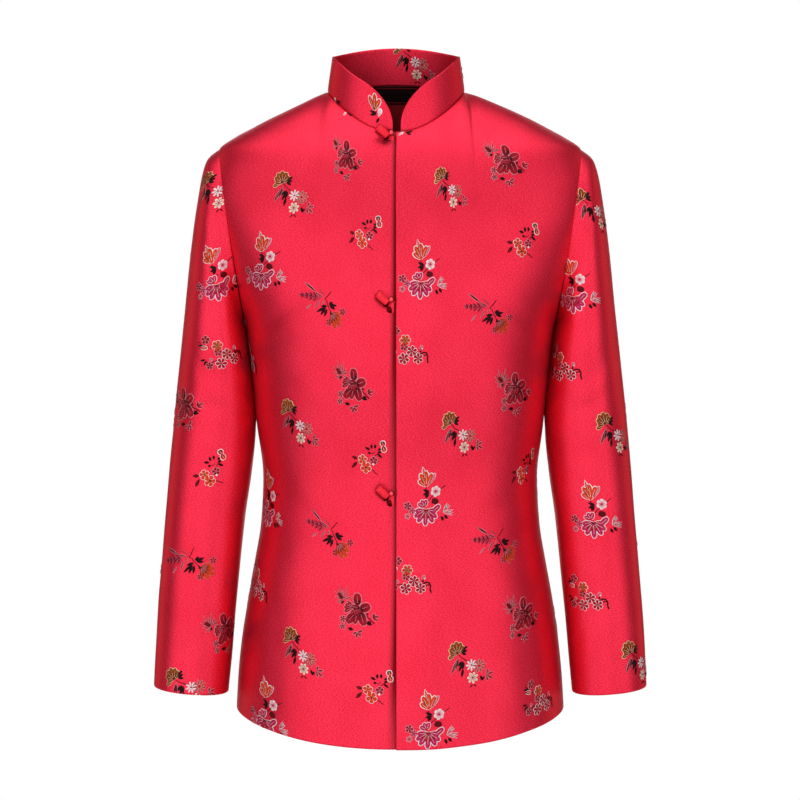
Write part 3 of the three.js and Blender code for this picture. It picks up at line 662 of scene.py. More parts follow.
class Finish:
    """A material and the nodes that make its pattern."""

    def __init__(self, name):
        self.material = bpy.data.materials.new(name)
        self.material.use_nodes = True
        self.tree = self.material.node_tree
        self.shader = self.tree.nodes["Principled BSDF"]

    def give(self, socket, value):
        """Links a socket to another one, or sets its value."""
        if isinstance(value, bpy.types.NodeSocket):
            self.tree.links.new(value, socket)
        else:
            socket.default_value = value

    def node(self, kind, inputs=None, **settings):
        made = self.tree.nodes.new("ShaderNode" + kind)
        for key, value in settings.items():
            setattr(made, key, value)
        for key, value in (inputs or {}).items():
            self.give(made.inputs[key], value)
        return made

    def set(self, **sockets):
        for key, value in sockets.items():
            self.give(self.shader.inputs[key.replace("_", " ")], value)

    def attribute(self, name, output="Fac"):
        return self.node("Attribute", attribute_name=name, attribute_type="GEOMETRY").outputs[output]

    def wave(self, vector, scale, distortion, detail, direction):
        inputs = {"Vector": vector, "Scale": scale, "Distortion": distortion, "Detail": detail}
        made = self.node("TexWave", inputs, wave_type="BANDS", bands_direction=direction)
        return made.outputs["Fac"]

    def place(self, scale, turn=0.0, uv=None):
        """Millimetre coordinates on the flat cloth, or through the object, scaled and turned."""
        if uv:
            source = self.node("UVMap", uv_map=uv).outputs["UV"]
        else:
            source = self.node("TexCoord").outputs["Object"]
        scales = scale if hasattr(scale, "__len__") else (scale, scale, scale)
        inputs = {"Vector": source, "Scale": tuple(s / MM for s in scales), "Rotation": (0, 0, turn)}
        return self.node("Mapping", inputs).outputs["Vector"]

    def noise(self, vector, detail=2.0, roughness=0.5):
        inputs = {"Vector": vector, "Scale": 1.0, "Detail": detail, "Roughness": roughness}
        return self.node("TexNoise", inputs).outputs["Fac"]

    def ramp(self, value, low, high, to_low=0.0, to_high=1.0):
        inputs = {"Value": value, "From Min": low, "From Max": high, "To Min": to_low, "To Max": to_high}
        return self.node("MapRange", inputs).outputs["Result"]

    def mix(self, share, first, second):
        return self.node("Mix", {0: share, 6: first, 7: second}, data_type="RGBA").outputs[2]

    def maths(self, operation, first, second):
        return self.node("Math", {0: first, 1: second}, operation=operation).outputs[0]

    def bump(self, height, distance, strength=1.0, after=None):
        inputs = {"Height": height, "Distance": distance * MM, "Strength": strength}
        if after:
            inputs["Normal"] = after
        return self.node("Bump", inputs).outputs["Normal"]


def brocade_satin():
    """Red satin ground: fine slanting twill, a grainy bite of thread ends and slow unevenness of tone."""
    f = Finish("brocade_satin")
    grain = f.noise(f.place((0.55, 1.15, 1.0), math.radians(38), "cloth"), 3.0, 0.6)
    slow = f.noise(f.place(0.022, 0, "cloth"), 2.0)
    twill = f.wave(f.place(1.0, math.radians(-32), "cloth"), 0.38, 1.4, 2.0, "X")
    ground = f.mix(f.ramp(grain, 0.32, 0.68), srgb(190, 6, 34), srgb(255, 56, 86))
    ground = f.mix(f.ramp(twill, 0.0, 1.0, 0.0, 0.14), ground, srgb(255, 74, 104))
    ground = f.mix(f.ramp(slow, 0.35, 0.7, 0.0, 0.2), ground, srgb(196, 2, 30))
    # painted shade: darker, less metallic and less glossy along seams and beside the left front's edge
    shade = f.attribute("shade")
    ground = f.mix(shade, ground, srgb(118, 0, 8))
    rough = f.ramp(grain, 0.25, 0.75, 0.4, 0.5)
    normal = f.bump(twill, 0.05, 0.5)
    normal = f.bump(grain, 0.16, 0.6, after=normal)
    f.set(Base_Color=ground, Roughness=rough, Normal=normal, Metallic=f.ramp(shade, 0, 1, 0.88, 0.1))
    f.set(Specular_IOR_Level=f.ramp(shade, 0, 1, 0.4, 0.0))
    return f.material


def lining_satin():
    """Plain darker red lining with a faint rib."""
    f = Finish("lining_satin")
    rib = f.wave(f.place(1.0, 0, "cloth"), 0.5, 0.6, 1.0, "Y")
    slow = f.noise(f.place(0.03, 0, "cloth"), 2.0)
    tone = f.mix(f.ramp(slow, 0.3, 0.7), srgb(120, 2, 10), srgb(158, 6, 20))
    f.set(Base_Color=tone, Roughness=f.ramp(slow, 0.3, 0.7, 0.42, 0.55), Normal=f.bump(rib, 0.05, 0.5))
    f.set(Specular_IOR_Level=0.4)
    return f.material


def woven_thread():
    """Brocade figures: the colour of each float, striped by its threads."""
    f = Finish("woven_thread")
    colour = f.attribute("thread_colour", "Color")
    stripes = f.wave(f.place(1.0, 0, "threads"), 0.62, 0.5, 1.0, "X")
    fleck = f.noise(f.place(0.9, 0, "threads"), 2.0)
    darker = f.mix(0.55, colour, srgb(40, 0, 6))
    tone = f.mix(f.ramp(stripes, 0.0, 0.5, 1.0, 0.0), colour, darker)
    tone = f.mix(f.ramp(fleck, 0.4, 0.65, 0.0, 0.6), tone, darker)
    f.set(Base_Color=tone, Roughness=f.ramp(fleck, 0.3, 0.7, 0.38, 0.52), Normal=f.bump(stripes, 0.12, 0.8))
    f.set(Metallic=0.5, Specular_IOR_Level=0.22)
    return f.material


def bias_cord(name, rough, gloss):
    """Rolled satin of the knots and loops, cut on the bias, darker and duller where shade is painted on its
    creases, rims and hollows.
    """
    f = Finish(name)
    rib = f.wave(f.place(1.0, math.radians(20)), 0.7, 0.8, 1.0, "DIAGONAL")
    slow = f.noise(f.place(0.35), 2.0)
    tone = f.mix(f.ramp(slow, 0.3, 0.7), srgb(214, 6, 30), srgb(250, 24, 54))
    painted_shade = f.attribute("painted_shade")
    tone = f.mix(painted_shade, tone, srgb(34, 0, 2))
    f.set(Base_Color=tone, Roughness=rough, Normal=f.bump(rib, 0.05, 0.5))
    f.set(Specular_IOR_Level=f.ramp(painted_shade, 0, 1, gloss, 0.0))
    return f.material


def woven_label():
    """Near-black ribbed label with a plain darker red woven border, and nothing written on it."""
    f = Finish("woven_label")
    spot = f.node("SeparateXYZ", {0: f.node("UVMap", uv_map="cloth").outputs["UV"]})
    half_width, half_height = LABEL["width"] / 2, (LABEL["top"] - LABEL["bottom"]) / 2
    aside = f.maths("ABSOLUTE", spot.outputs["X"], 0.0)
    away = f.maths("ABSOLUTE", f.maths("SUBTRACT", spot.outputs["Y"], half_height * MM), 0.0)
    lines = []
    for across, half, along, other, inset in (
        (aside, half_width, away, half_height, 2.6),
        (away, half_height, aside, half_width, 2.2),
    ):
        line = f.maths("COMPARE", across, (half - inset) * MM)
        line.node.inputs[2].default_value = 0.35 * MM
        lines.append(f.maths("MULTIPLY", line, f.maths("LESS_THAN", along, (other - 4.4 + inset) * MM)))
    border = f.maths("MAXIMUM", *lines)
    rib = f.wave(f.place(1.0, 0, "cloth"), 0.8, 0.3, 2.0, "Y")
    ground = f.mix(f.ramp(rib, 0, 1), srgb(12, 0, 3), srgb(30, 3, 8))
    f.set(Base_Color=f.mix(border, ground, srgb(150, 20, 30)), Roughness=f.ramp(rib, 0, 1, 0.5, 0.7))
    f.set(Normal=f.bump(rib, 0.1, 0.8), Specular_IOR_Level=0.08)
    return f.material


SATIN = brocade_satin()
LINING = lining_satin()
THREAD = woven_thread()
CORD = bias_cord("bias_cord", 0.5, 0.3)
TIGHT_CORD = bias_cord("tight_bias_cord", 0.24, 0.9)
WOVEN_LABEL = woven_label()

# ---------------------------------------------------------------- brocade flowers

SILVER = srgb(232, 150, 164)
WHITE = srgb(255, 232, 236)
CRIMSON = srgb(178, 8, 36)
MAROON = srgb(92, 2, 16)
MAGENTA = srgb(206, 34, 96)
ORANGE = srgb(232, 66, 14)
GOLD = srgb(158, 76, 22)
OLIVE = srgb(92, 56, 20)
PINK = srgb(240, 110, 130)
CREAM = srgb(255, 226, 178)
BLACK = srgb(22, 2, 4)
STEM = srgb(78, 3, 8)
RUST = srgb(128, 8, 14)

# how far along a petal each pair of outline points stands, and how far to each side
OUTLINES = {
    "petal": ((0, 0.12), (0.25, 0.55), (0.55, 0.95), (0.82, 0.92), (1, 0.4)),
    "leaf": ((0, 0.05), (0.22, 0.72), (0.5, 1), (0.78, 0.66), (1, 0.04)),
    "round": ((0, 0.45), (0.2, 0.86), (0.5, 1), (0.8, 0.86), (1, 0.45)),
    "lobe": ((0, 0.3), (0.25, 0.66), (0.55, 1), (0.82, 0.88), (1, 0.42)),
}
# an open flower: how far out its petals start, how much of the ring they fill, and their rim's width
BLOOM = {"heart": 0.1, "petal_width": 0.7, "rim": 0.5, "dot": 0.17}
# a petal's vein: the least width of petal that has one, half its own width, its height, and where it runs
VEIN = {"least_petal": 3.4, "half": 0.22, "height": 0.42, "from": 0.22, "to": 0.74}
# the height of the first petal over the cloth, and how much higher each next one lies
LAYER = {"first": 0.22, "step": 0.004}
# how high a petal's rim, its inner edge and its middle stand, and a stalk and a dot
HEIGHT = {"rim": 0, "inner": 0.16, "middle": 0.3, "stem": 0.05, "dot": 0.4}


class Spray:
    """One woven spray on the flat, in millimetres: points, faces, and each corner's colour and threads."""

    def __init__(self):
        self.points, self.faces, self.colours, self.threads = [], [], [], []
        self.layer = LAYER["first"]

    def corner(self, x, y, height):
        self.points.append((x, y, self.layer + height))
        return len(self.points) - 1

    def face(self, corners, colours, threads):
        self.faces.append(corners)
        self.colours.append(colours)
        self.threads.append(threads)

    def petal(
        self, at, turn, length, width, fill, rim=SILVER, base=MAROON, shape="petal", line=0.5, vein=True
    ):
        """A petal that starts at a point and runs in a direction, given in degrees, with a raised middle."""
        c, s = math.cos(math.radians(turn)), math.sin(math.radians(turn))
        half = width / 2
        line = min(line, half * 0.55)

        def put(along, side, height):
            return self.corner(at[0] + along * c - side * s, at[1] + along * s + side * c, height)

        outline, inner, colours, threads = [], [], [], []
        for share, spread in OUTLINES[shape]:
            along, side = share * length, spread * half
            near, off = line + share * (length - 2 * line), spread * (half - line)
            edge, middle = HEIGHT["inner"], HEIGHT["middle"]
            outline.append([put(along, side, HEIGHT["rim"]), put(along, -side, HEIGHT["rim"])])
            inner.append([put(near, off, edge), put(near, 0, middle), put(near, -off, edge)])
            colours.append(tuple(b + (f - b) * min(1, share * 1.35) for b, f in zip(base, fill)))
            threads.append([(side, along), (off, near), (0, near), (-off, near), (-side, along)])
        for k in range(len(outline) - 1):
            (l0, r0), (l1, r1) = outline[k], outline[k + 1]
            (a0, m0, b0), (a1, m1, b1) = inner[k], inner[k + 1]
            t0, t1, c0, c1 = threads[k], threads[k + 1], colours[k], colours[k + 1]
            self.face([l0, a0, a1, l1], [rim] * 4, [t0[0], t0[1], t1[1], t1[0]])
            self.face([b0, r0, r1, b1], [rim] * 4, [t0[3], t0[4], t1[4], t1[3]])
            self.face([a0, m0, m1, a1], [c0, c0, c1, c1], [t0[1], t0[2], t1[2], t1[1]])
            self.face([m0, b0, b1, m1], [c0, c0, c1, c1], [t0[2], t0[3], t1[3], t1[2]])
        (l1, r1), (a1, m1, b1), t1 = outline[-1], inner[-1], threads[-1]
        self.face([l1, a1, m1, b1, r1], [rim] * 5, t1)
        if vein and width > VEIN["least_petal"]:
            thin, high = VEIN["half"], VEIN["height"]
            low, top = VEIN["from"] * length, VEIN["to"] * length
            ends = [put(low, thin, high), put(low, -thin, high)]
            ends += [put(top, -thin / 2, high), put(top, thin / 2, high)]
            self.face(ends, [rim] * 4, [(thin, 0), (-thin, 0), (-thin, length), (thin, length)])
        self.layer += LAYER["step"]

    def fan(self, at, rows, *look, **shape):
        """Petals of one look from one point, given as directions and lengths."""
        for turn, reach in rows:
            self.petal(at, turn, reach, *look, **shape)

    def blade(self, at, turn, length, width, fill, rim, base, line):
        """A narrow pointed petal without a vein."""
        self.petal(at, turn, length, width, fill, rim, base, "leaf", line, vein=False)

    def bloom(self, at, radius, count, fill, rim=SILVER, base=MAROON, turn=0.0, heart=GOLD, width=1.0):
        """An open flower of equal petals round a heart."""
        spread = width * BLOOM["petal_width"] * 2 * radius * math.sin(math.pi / count)
        off = BLOOM["heart"] * radius
        for k in range(count):
            angle = turn + 360 * k / count
            way = math.radians(angle)
            start = (at[0] + off * math.cos(way), at[1] + off * math.sin(way))
            self.petal(start, angle, radius - off, spread, fill, rim, base, "lobe", BLOOM["rim"], False)
        self.dot(at, radius * BLOOM["dot"], heart)

    def dot(self, at, radius, colour):
        ring = [(math.cos(a) * radius, math.sin(a) * radius) for a in np.linspace(0, 2 * math.pi, 9)[:-1]]
        corners = [self.corner(at[0] + x, at[1] + y, HEIGHT["dot"]) for x, y in ring]
        self.face(corners, [colour] * 8, ring)

    def stem(self, points, colour=STEM, width=0.9):
        """A thin woven stalk through a few points."""
        points = np.array(points, float)
        run = np.gradient(points, axis=0)
        side = np.stack([-run[:, 1], run[:, 0]], axis=-1)
        side = side / np.linalg.norm(side, axis=-1, keepdims=True) * width / 2
        left = [self.corner(*p, HEIGHT["stem"]) for p in points + side]
        right = [self.corner(*p, HEIGHT["stem"]) for p in points - side]
        for k in range(len(points) - 1):
            corners = [right[k], right[k + 1], left[k + 1], left[k]]
            self.face(corners, [colour] * 4, [(0, k), (0, k + 1), (width, k + 1), (width, k)])

    def leaves(self, rows, fill=BLACK, rim=BLACK, base=BLACK, width=2.6, line=0.4):
        """Small pointed leaves, each from one point to another."""
        for x0, y0, x1, y1 in rows:
            length = math.hypot(x1 - x0, y1 - y0)
            turn = math.degrees(math.atan2(y1 - y0, x1 - x0))
            self.blade((x0, y0), turn, length, width, fill, rim, base, line)


def peony_spray():
    """A dark open flower with a thin tuft behind it and small ones below."""
    s = Spray()
    s.stem([(8, -2), (13, -5), (18, -9), (23, -14)], STEM, 1.2)
    tuft = ((52, 11), (74, 16), (92, 12), (108, 17), (124, 13), (142, 14), (166, 11), (204, 9), (232, 7))
    for turn, reach in tuft:
        s.blade((-12, 9), turn, reach, 1.9, CRIMSON, SILVER, RUST, 0.45)
    s.petal((-12.5, 10), 132, 8, 4.6, RUST, RUST, MAROON, "round", 0.4)
    s.leaves([(-15, 13, -17.6, 15.4), (-11, 8, -14, 5)], width=2.6)
    for start, turn, reach in (((-10, 10), 20, 9), ((-9, 8), 352, 8), ((-9, 6), 320, 6)):
        s.petal(start, turn, reach, 2.6, CRIMSON, SILVER, RUST, "leaf")
    s.petal((4.5, 4.5), 92, 13.5, 10.4, CRIMSON, SILVER, MAROON, "round", 0.6)
    s.petal((7, 0.4), 22, 13, 11, CRIMSON, SILVER, MAROON, "round", 0.6)
    s.petal((7.6, -1.6), 287, 16, 10.6, CRIMSON, SILVER, BLACK, "round", 0.6)
    s.petal((4, -4), 258, 12, 7, CRIMSON, SILVER, MAROON, "round", 0.6)
    s.petal((2.4, -3.6), 229, 15, 10.4, CRIMSON, SILVER, BLACK, "round", 0.6)
    s.fan((0, 2.5), ((146, 8), (166, 10), (186, 11), (210, 12)), 5.2, CRIMSON, SILVER, MAROON, line=0.6)
    for turn in (244, 272, 300, 328):
        s.petal((1.5, 1.5), turn, 9, 5, CRIMSON, PINK, MAROON)
    s.petal((-3, 3.4), 352, 11, 6.4, MAROON, SILVER, CRIMSON, "round", 0.6)
    s.petal((-1, 3.4), 10, 7.5, 3.2, CRIMSON, SILVER, MAROON, "round", 0.5)
    s.petal((0, -3.5), 12, 8.5, 2.4, MAROON, SILVER, CRIMSON, "leaf")
    for at in ((6.8, 9), (9.5, 0.7), (15.5, -4)):
        s.dot(at, 1.2, BLACK)
    s.bloom((-11.5, -11), 4, 5, CRIMSON, SILVER, RUST, heart=RUST)
    s.bloom((-12, -19), 3.8, 5, CRIMSON, SILVER, RUST, turn=30, heart=RUST)
    s.leaves([(0, -21.6, -6, -20.4)], width=3.8)
    s.fan((4.5, -24), ((200, 6), (262, 7), (318, 7), (20, 7.5)), 3.4, CRIMSON, SILVER, RUST, "leaf")
    s.fan((20.5, -7), ((50, 6), (8, 9), (-30, 8)), 3.4, CRIMSON, SILVER, RUST, "leaf")
    s.leaves([(14, -13.6, 21, -15), (15, -12.4, 20, -12.8)], width=3.2)
    return s


def fan_flower_spray():
    """A gold fan of petals over three daisies and dark leaves."""
    s = Spray()
    s.stem([(-12, 8), (-8, 3), (-2, -1), (8, -6)])
    s.stem([(7, -9), (5.5, -14), (4.6, -20)])
    for turn, reach in ((170, 9), (146, 11.5), (121, 13.5), (96, 14), (71, 13), (46, 11)):
        s.petal((-12.3, 7), turn, reach, 6.4, GOLD, CREAM, RUST)
        s.blade((-12.3, 7), turn + 12, reach * 0.84, 1.5, RUST, RUST, STEM, 0.3)
        s.blade((-12.3, 7), turn, reach * 0.7, 1.3, CREAM, CREAM, ORANGE, 0.3)
    s.petal((-15, 6.5), 202, 8.5, 5, GOLD, CREAM, RUST)
    s.leaves([(-8, 11, -0.5, 14), (-8, 10, -0.8, 9.4), (-8, 9, -2, 5)], width=3.2)
    s.petal((-11, 3), 242, 19, 4.4, RUST, SILVER, STEM, "leaf", 0.6)
    s.blade((-10.4, 2), 250, 13, 2.2, MAROON, SILVER, STEM, 0.4)
    s.leaves([(-6, -1, -12.6, -6), (-6, -2, -11, -12), (-5, -2, -7, -10), (-6, -9, -8, -18)], width=3.2)
    s.bloom((3.4, -6.4), 6.4, 8, WHITE, WHITE, WHITE, heart=CRIMSON, width=0.6)
    s.bloom((12, -8.4), 7.6, 9, GOLD, SILVER, ORANGE, turn=8, heart=CRIMSON, width=0.72)
    s.bloom((4.6, -20), 6.2, 7, CREAM, WHITE, GOLD, turn=20, heart=CRIMSON, width=0.78)
    s.leaves([(13, -19, 16, -25), (14, -24, 18, -21)], width=3.0)
    s.leaves([(4.4, -27, 1.6, -30), (5.4, -27, 8.4, -30)], STEM, STEM, BLACK, 1.6)
    s.fan((20, -19), ((70, 6), (10, 8), (322, 9), (282, 7)), 3.2, CRIMSON, SILVER, RUST)
    return s


def rose_bud_spray():
    """An orange bud and a pale flower over a magenta chrysanthemum."""
    s = Spray()
    s.stem([(18, 11), (11, 7), (4, 2), (-3, -4)])
    s.stem([(-5, 11), (-6, 4), (-5, -5)])
    for turn, reach, width in ((140, 12.5, 6.4), (116, 17, 7), (92, 18, 7.4), (66, 16.5, 7)):
        s.petal((-4.5, 10.5), turn, reach, width, ORANGE, WHITE, ORANGE, line=0.9)
    s.petal((-5.4, 17), 103, 16.5, 5, ORANGE, WHITE, GOLD, "leaf", 0.9)
    s.petal((-1.4, 12.5), 60, 14.5, 4.6, PINK, WHITE, CRIMSON)
    s.petal((-7, 12), 108, 11, 3.4, GOLD, WHITE, RUST)
    s.bloom((6.2, 5.4), 5.9, 6, WHITE, WHITE, PINK, turn=20, heart=CRIMSON, width=1.15)
    s.bloom((5.4, 5.2), 2.8, 5, PINK, WHITE, CRIMSON, heart=CRIMSON, width=1.1)
    s.leaves([(-1, 5, -8.6, 8), (-1, 4, -9, 2.4), (-2, 3, -6, -1.3)], width=3.2)
    s.petal((1, -4), 345, 8.4, 6.6, MAROON, RUST, STEM, "round", 0.6)
    for turn in (152, 112, 72):
        s.petal((-7.2, -10.5), turn, 8.6, 6, MAGENTA, WHITE, CRIMSON, "round", 0.6)
    s.petal((2.4, -16), 36, 11, 7.4, MAGENTA, WHITE, CRIMSON, "round", 0.8)
    outer = ((188, 13), (346, 13), (210, 16), (322, 16), (234, 17), (298, 17), (266, 18))
    s.fan((-5.2, -13.2), outer, 7.2, MAGENTA, WHITE, CRIMSON, line=0.8)
    for turn in (218, 250, 282, 314):
        s.petal((-5.2, -13.2), turn, 10.5, 4.6, CRIMSON, PINK, MAROON)
    for turn in (232, 266, 300):
        s.petal((-5.2, -13.2), turn, 6, 3.2, MAGENTA, PINK, BLACK)
    for turn, reach in ((48, 11), (352, 13)):
        for lean in (-13, 0, 13):
            s.blade((14.6, -17.5), turn + lean, reach, 2.2, CRIMSON, WHITE, PINK, 0.6)
    s.leaves([(12.4, -21.5, 15, -27), (16.4, -20.6, 20, -25.4)], width=3.2)
    s.bloom((-25.8, -9), 4.7, 5, CRIMSON, SILVER, MAROON, heart=MAGENTA)
    s.bloom((-21, -14), 4, 5, MAGENTA, SILVER, CRIMSON, heart=CRIMSON)
    s.bloom((-25.8, -20), 3.6, 5, PINK, SILVER, CRIMSON, heart=CRIMSON)
    return s


def feather_spray():
    """A feathery frond, dark leaves and a hanging orange flower."""
    s = Spray()
    s.stem([(11, 12.6), (6, 7), (2.8, 3.8), (5.5, 2), (7, -2.4), (12, -10.6)])
    s.stem([(0, 5.4), (-14, 6.4), (-30, 8.5)], CRIMSON)
    for k in range(9):
        x, z = -5 - 2.7 * k, 5 + 0.35 * k
        reach = 7.6 - 0.55 * k
        colour, rim = ((MAGENTA, PINK), (CRIMSON, RUST))[k % 2]
        for turn in (132, 176, 228):
            s.blade((x, z), turn, reach, 1.7, colour, rim, MAROON, 0.35)
    s.blade((-9, 10.5), 142, 18, 3.4, RUST, SILVER, STEM, 0.6)
    s.blade((1, 5), 152, 13, 2.6, CRIMSON, SILVER, MAROON, 0.5)
    s.blade((2.8, 7.4), 139, 12, 1.5, CRIMSON, PINK, MAROON, 0.35)
    s.blade((-13.7, -2.2), 220, 9.6, 2.2, PINK, SILVER, RUST, 0.5)
    s.blade((-3.4, 2), 234, 11.6, 2.2, CRIMSON, SILVER, STEM, 0.5)
    s.blade((2, 3), 244, 6, 2.0, CRIMSON, SILVER, STEM, 0.5)
    s.leaves([(6.5, -3.5, -2, -3.8), (4, -4.5, -7.5, -10.6)], width=3.2)
    s.leaves([(4.5, -5, -2, -13.4), (6, -6, 3, -14.6)], width=3.2)
    s.leaves([(8.4, -1, 13.4, 1.4), (8.6, -2, 19, -1.6), (9.6, -3, 17, -5.6)], width=3.4)
    s.leaves([(10.6, -8, 12.4, -14.6)], STEM, BLACK, BLACK, 2.6)
    s.fan((12, -10), ((356, 12.4), (334, 16), (312, 18), (290, 17), (268, 12)), 6, ORANGE, PINK, RUST)
    for turn in (346, 322, 298, 276):
        s.petal((12, -10), turn, 10, 4, OLIVE, SILVER, RUST)
    s.bloom((27, -7.5), 4.2, 5, CRIMSON, PINK, RUST, heart=ORANGE)
    s.bloom((9.5, -20), 4.2, 5, CRIMSON, PINK, RUST, heart=ORANGE)
    return s


def orange_blossom_spray():
    """Two orange blossoms, a red one and a round bud on a branch."""
    s = Spray()
    s.stem([(14, 11), (9, 7), (5, 4), (3, 1)], RUST)
    s.stem([(-1, -9), (4, -13), (8, -16)])
    s.stem([(5, 8), (2, 6), (-3, 8)], RUST, 0.7)
    s.bloom((-9.2, -0.5), 5.6, 5, ORANGE, WHITE, ORANGE, turn=14, heart=GOLD, width=1.1)
    s.bloom((-5.2, -8.9), 6.4, 5, ORANGE, WHITE, ORANGE, turn=54, heart=MAROON, width=1.1)
    s.bloom((3.6, -0.9), 4.8, 5, CRIMSON, SILVER, RUST, turn=20, heart=PINK, width=1.1)
    s.dot((3.2, -5), 1.3, WHITE)
    s.petal((14.6, 14.6), 104, 6.6, 7, OLIVE, WHITE, ORANGE, "round", 0.8)
    s.petal((14.2, 15), 282, 7, 7, ORANGE, WHITE, RUST, "round", 0.8)
    s.leaves([(-0.6, 10.4, -6.4, 12.8), (1, 11.4, 1, 16.8)], width=3.0)
    s.leaves([(5, 12, 5.4, 16.8), (-3, 6.4, 0, 7.6)], width=3.0)
    s.leaves([(8.4, 10.6, 12, 12.2), (8, 8.6, 12, 7.8), (7.6, 6.8, 13, 2)], width=2.8)
    s.leaves([(-15, 0, -22, 1.8), (-15.6, -3.6, -22, -10.6)], RUST, STEM, STEM, 3.8)
    return s


def plum_branch_spray():
    """Plum blossoms along a bent dark branch."""
    s = Spray()
    s.stem([(-22, 17.5), (-15, 11), (-8.2, 6), (-2, 2), (4, -4), (14, -7)], STEM)
    s.stem([(14, -7), (17, -5.6), (20.4, -6), (22.2, -9.8), (21.6, -13), (22.6, -17)], BLACK, 1.7)
    s.stem([(16, -9.5), (19, -8.4), (21, -8.6)], BLACK, 1.1)
    s.stem([(-20, -6), (-14.4, -7.9), (-8, -7)], STEM)
    s.bloom((-3.3, 7.8), 6.2, 6, ORANGE, WHITE, GOLD, heart=GOLD, width=1.1)
    s.bloom((-4.6, 0.9), 4.6, 5, CRIMSON, SILVER, RUST, heart=PINK, width=1.1)
    s.bloom((3.9, -3.9), 6.2, 6, CRIMSON, WHITE, CRIMSON, turn=18, heart=CRIMSON)
    s.bloom((-5, -11.6), 6.4, 6, CRIMSON, WHITE, CRIMSON, turn=44, heart=CRIMSON)
    s.bloom((11, -11.6), 6.1, 6, CRIMSON, WHITE, CRIMSON, turn=30, heart=CRIMSON)
    s.petal((14, -3), 78, 5.4, 4.6, PINK, SILVER, CRIMSON, "round")
    s.dot((13.6, -4.2), 1.2, BLACK)
    s.dot((15.4, -1.4), 0.8, WHITE)
    s.bloom((-13.5, 17.6), 5, 5, CRIMSON, SILVER, RUST, heart=PINK, width=1.1)
    s.petal((-21.4, 11), 345, 8, 5, ORANGE, WHITE, GOLD, "round", 0.7)
    s.bloom((-17.6, -10.4), 4.4, 5, CRIMSON, SILVER, MAROON, heart=CRIMSON, width=1.1)
    s.bloom((-14, -4.3), 2.2, 5, PINK, SILVER, CRIMSON, heart=RUST)
    s.leaves([(-20, -3, -26, -2), (-19, -4, -24, -8), (-18, 13, -24, 14)], width=2.4)
    return s


def bud_tip_spray():
    """A closed bud over the stub of its flower."""
    s = Spray()
    for turn, length in ((116, 16), (66, 16), (91, 19)):
        s.petal((-1, -8), turn, length, 6.8, ORANGE, WHITE, GOLD, line=0.95)
    s.petal((4, -13), 74, 10, 5.4, WHITE, WHITE, PINK, line=0.8)
    s.leaves([(2, -9, -7, -10), (2, -10, -6, -14), (5, -14, 2, -20)], width=2.8)
    return s


def sprig_spray():
    """The end of a spray that a seam cuts short: a pale petal and two dark leaves."""
    s = Spray()
    s.blade((-5, -4), 44, 8, 3.6, WHITE, WHITE, PINK, 0.6)
    s.leaves([(2, 0, 11, 1.5), (3, -0.5, 9, -3.5)], STEM, BLACK, BLACK, 2.8)
    return s


SPRAYS = {
    "bud_tip": bud_tip_spray(),
    "sprig": sprig_spray(),
    "peony": peony_spray(),
    "fan": fan_flower_spray(),
    "bud": rose_bud_spray(),
    "feather": feather_spray(),
    "blossom": orange_blossom_spray(),
    "plum": plum_branch_spray(),
}

# the brocade repeats every 169 mm across and 243 mm down; each spray's place in the first repeat
REPEAT = (169, 243)
SPRAY_PLACES = {
    "peony": (-62.5, -67),
    "fan": (-118.6, -105.6),
    "bud": (-148, -185),
    "feather": (-85.6, -230),
    "blossom": (-37, -155),
    "plum": (-164, -285),
}


# the stretch of flat cloth that the back's repeat covers: least and most across, least and most up
BACK_SPAN = (-290, 290, -700, 20)
# cloth that faces further away than this doesn't show, and how far off it is counted
FACING_AWAY, FAR = -0.1, 1e6
# how far past a flat edge a spray's point may lie
OFF_EDGE = 0.25


def on_picture(points):
    """Where points show, as x and z on the plane that the camera is aimed at, and how much larger."""
    eye, aim = np.array(CAMERA["place"]) / MM, np.array(CAMERA["look_at"]) / MM
    forward = unit(aim - eye)
    up = np.array([0, -forward[2], forward[1]])
    ray = points - eye
    reach = np.linalg.norm(aim - eye) / (ray @ forward)
    return np.stack([aim[0] + ray[:, 0] * reach, aim[2] + (ray @ up) * reach], axis=-1), reach


class FlatCloth:
    """Finds where a point of the flat cloth lies on the sewn piece."""

    def __init__(self, cloth, inside=False):
        layer = cloth.inner if inside else cloth.outer
        columns, rows = layer.shape[:2]
        self.points = layer.reshape(-1, 3)
        self.normals = cloth.normals.reshape(-1, 3) * (-1 if inside else 1)
        u = cloth.u.reshape(-1)
        self.flat = [Vector((x, y, 0)) for x, y in zip(u, cloth.v.reshape(-1))]
        self.triangles = []
        for c in range(columns if cloth.ring else columns - 1):
            n = (c + 1) % columns
            for r in range(rows - 1):
                a, b, d, e = c * rows + r, n * rows + r, n * rows + r + 1, c * rows + r + 1
                if abs(u[a] - u[b]) > SEAM_JUMP:
                    continue
                self.triangles += [(a, b, d), (a, d, e)]
        self.tree = BVHTree.FromPolygons(self.flat, self.triangles, all_triangles=True)

    def place(self, u, v, height):
        """The point over the piece at a flat place and the way out there, or None off its edge."""
        spot, _, index, distance = self.tree.find_nearest(Vector((u, v, 0)))
        if distance > OFF_EDGE:
            return None
        corners = self.triangles[index]
        shares = np.array(poly_3d_calc([self.flat[i] for i in corners], spot))
        normal = unit(shares @ self.normals[list(corners)])
        return shares @ self.points[list(corners)] + normal * height, normal

    def nearest(self, x, z, front=True):
        """The flat place that shows at x, z in the camera's view, or straight from behind."""
        facing = -self.normals[:, 1] if front else self.normals[:, 1]
        seen, reach = on_picture(self.points) if front else (self.points[:, ::2], np.ones(len(self.points)))
        off = ((seen - np.array([x, z])) ** 2).sum(axis=1) + np.where(facing > FACING_AWAY, 0, FAR)
        best = int(np.argmin(off))
        spot = self.flat[best]
        return spot[0] + (x - seen[best, 0]) / reach[best], spot[1] + (z - seen[best, 1]) / reach[best]


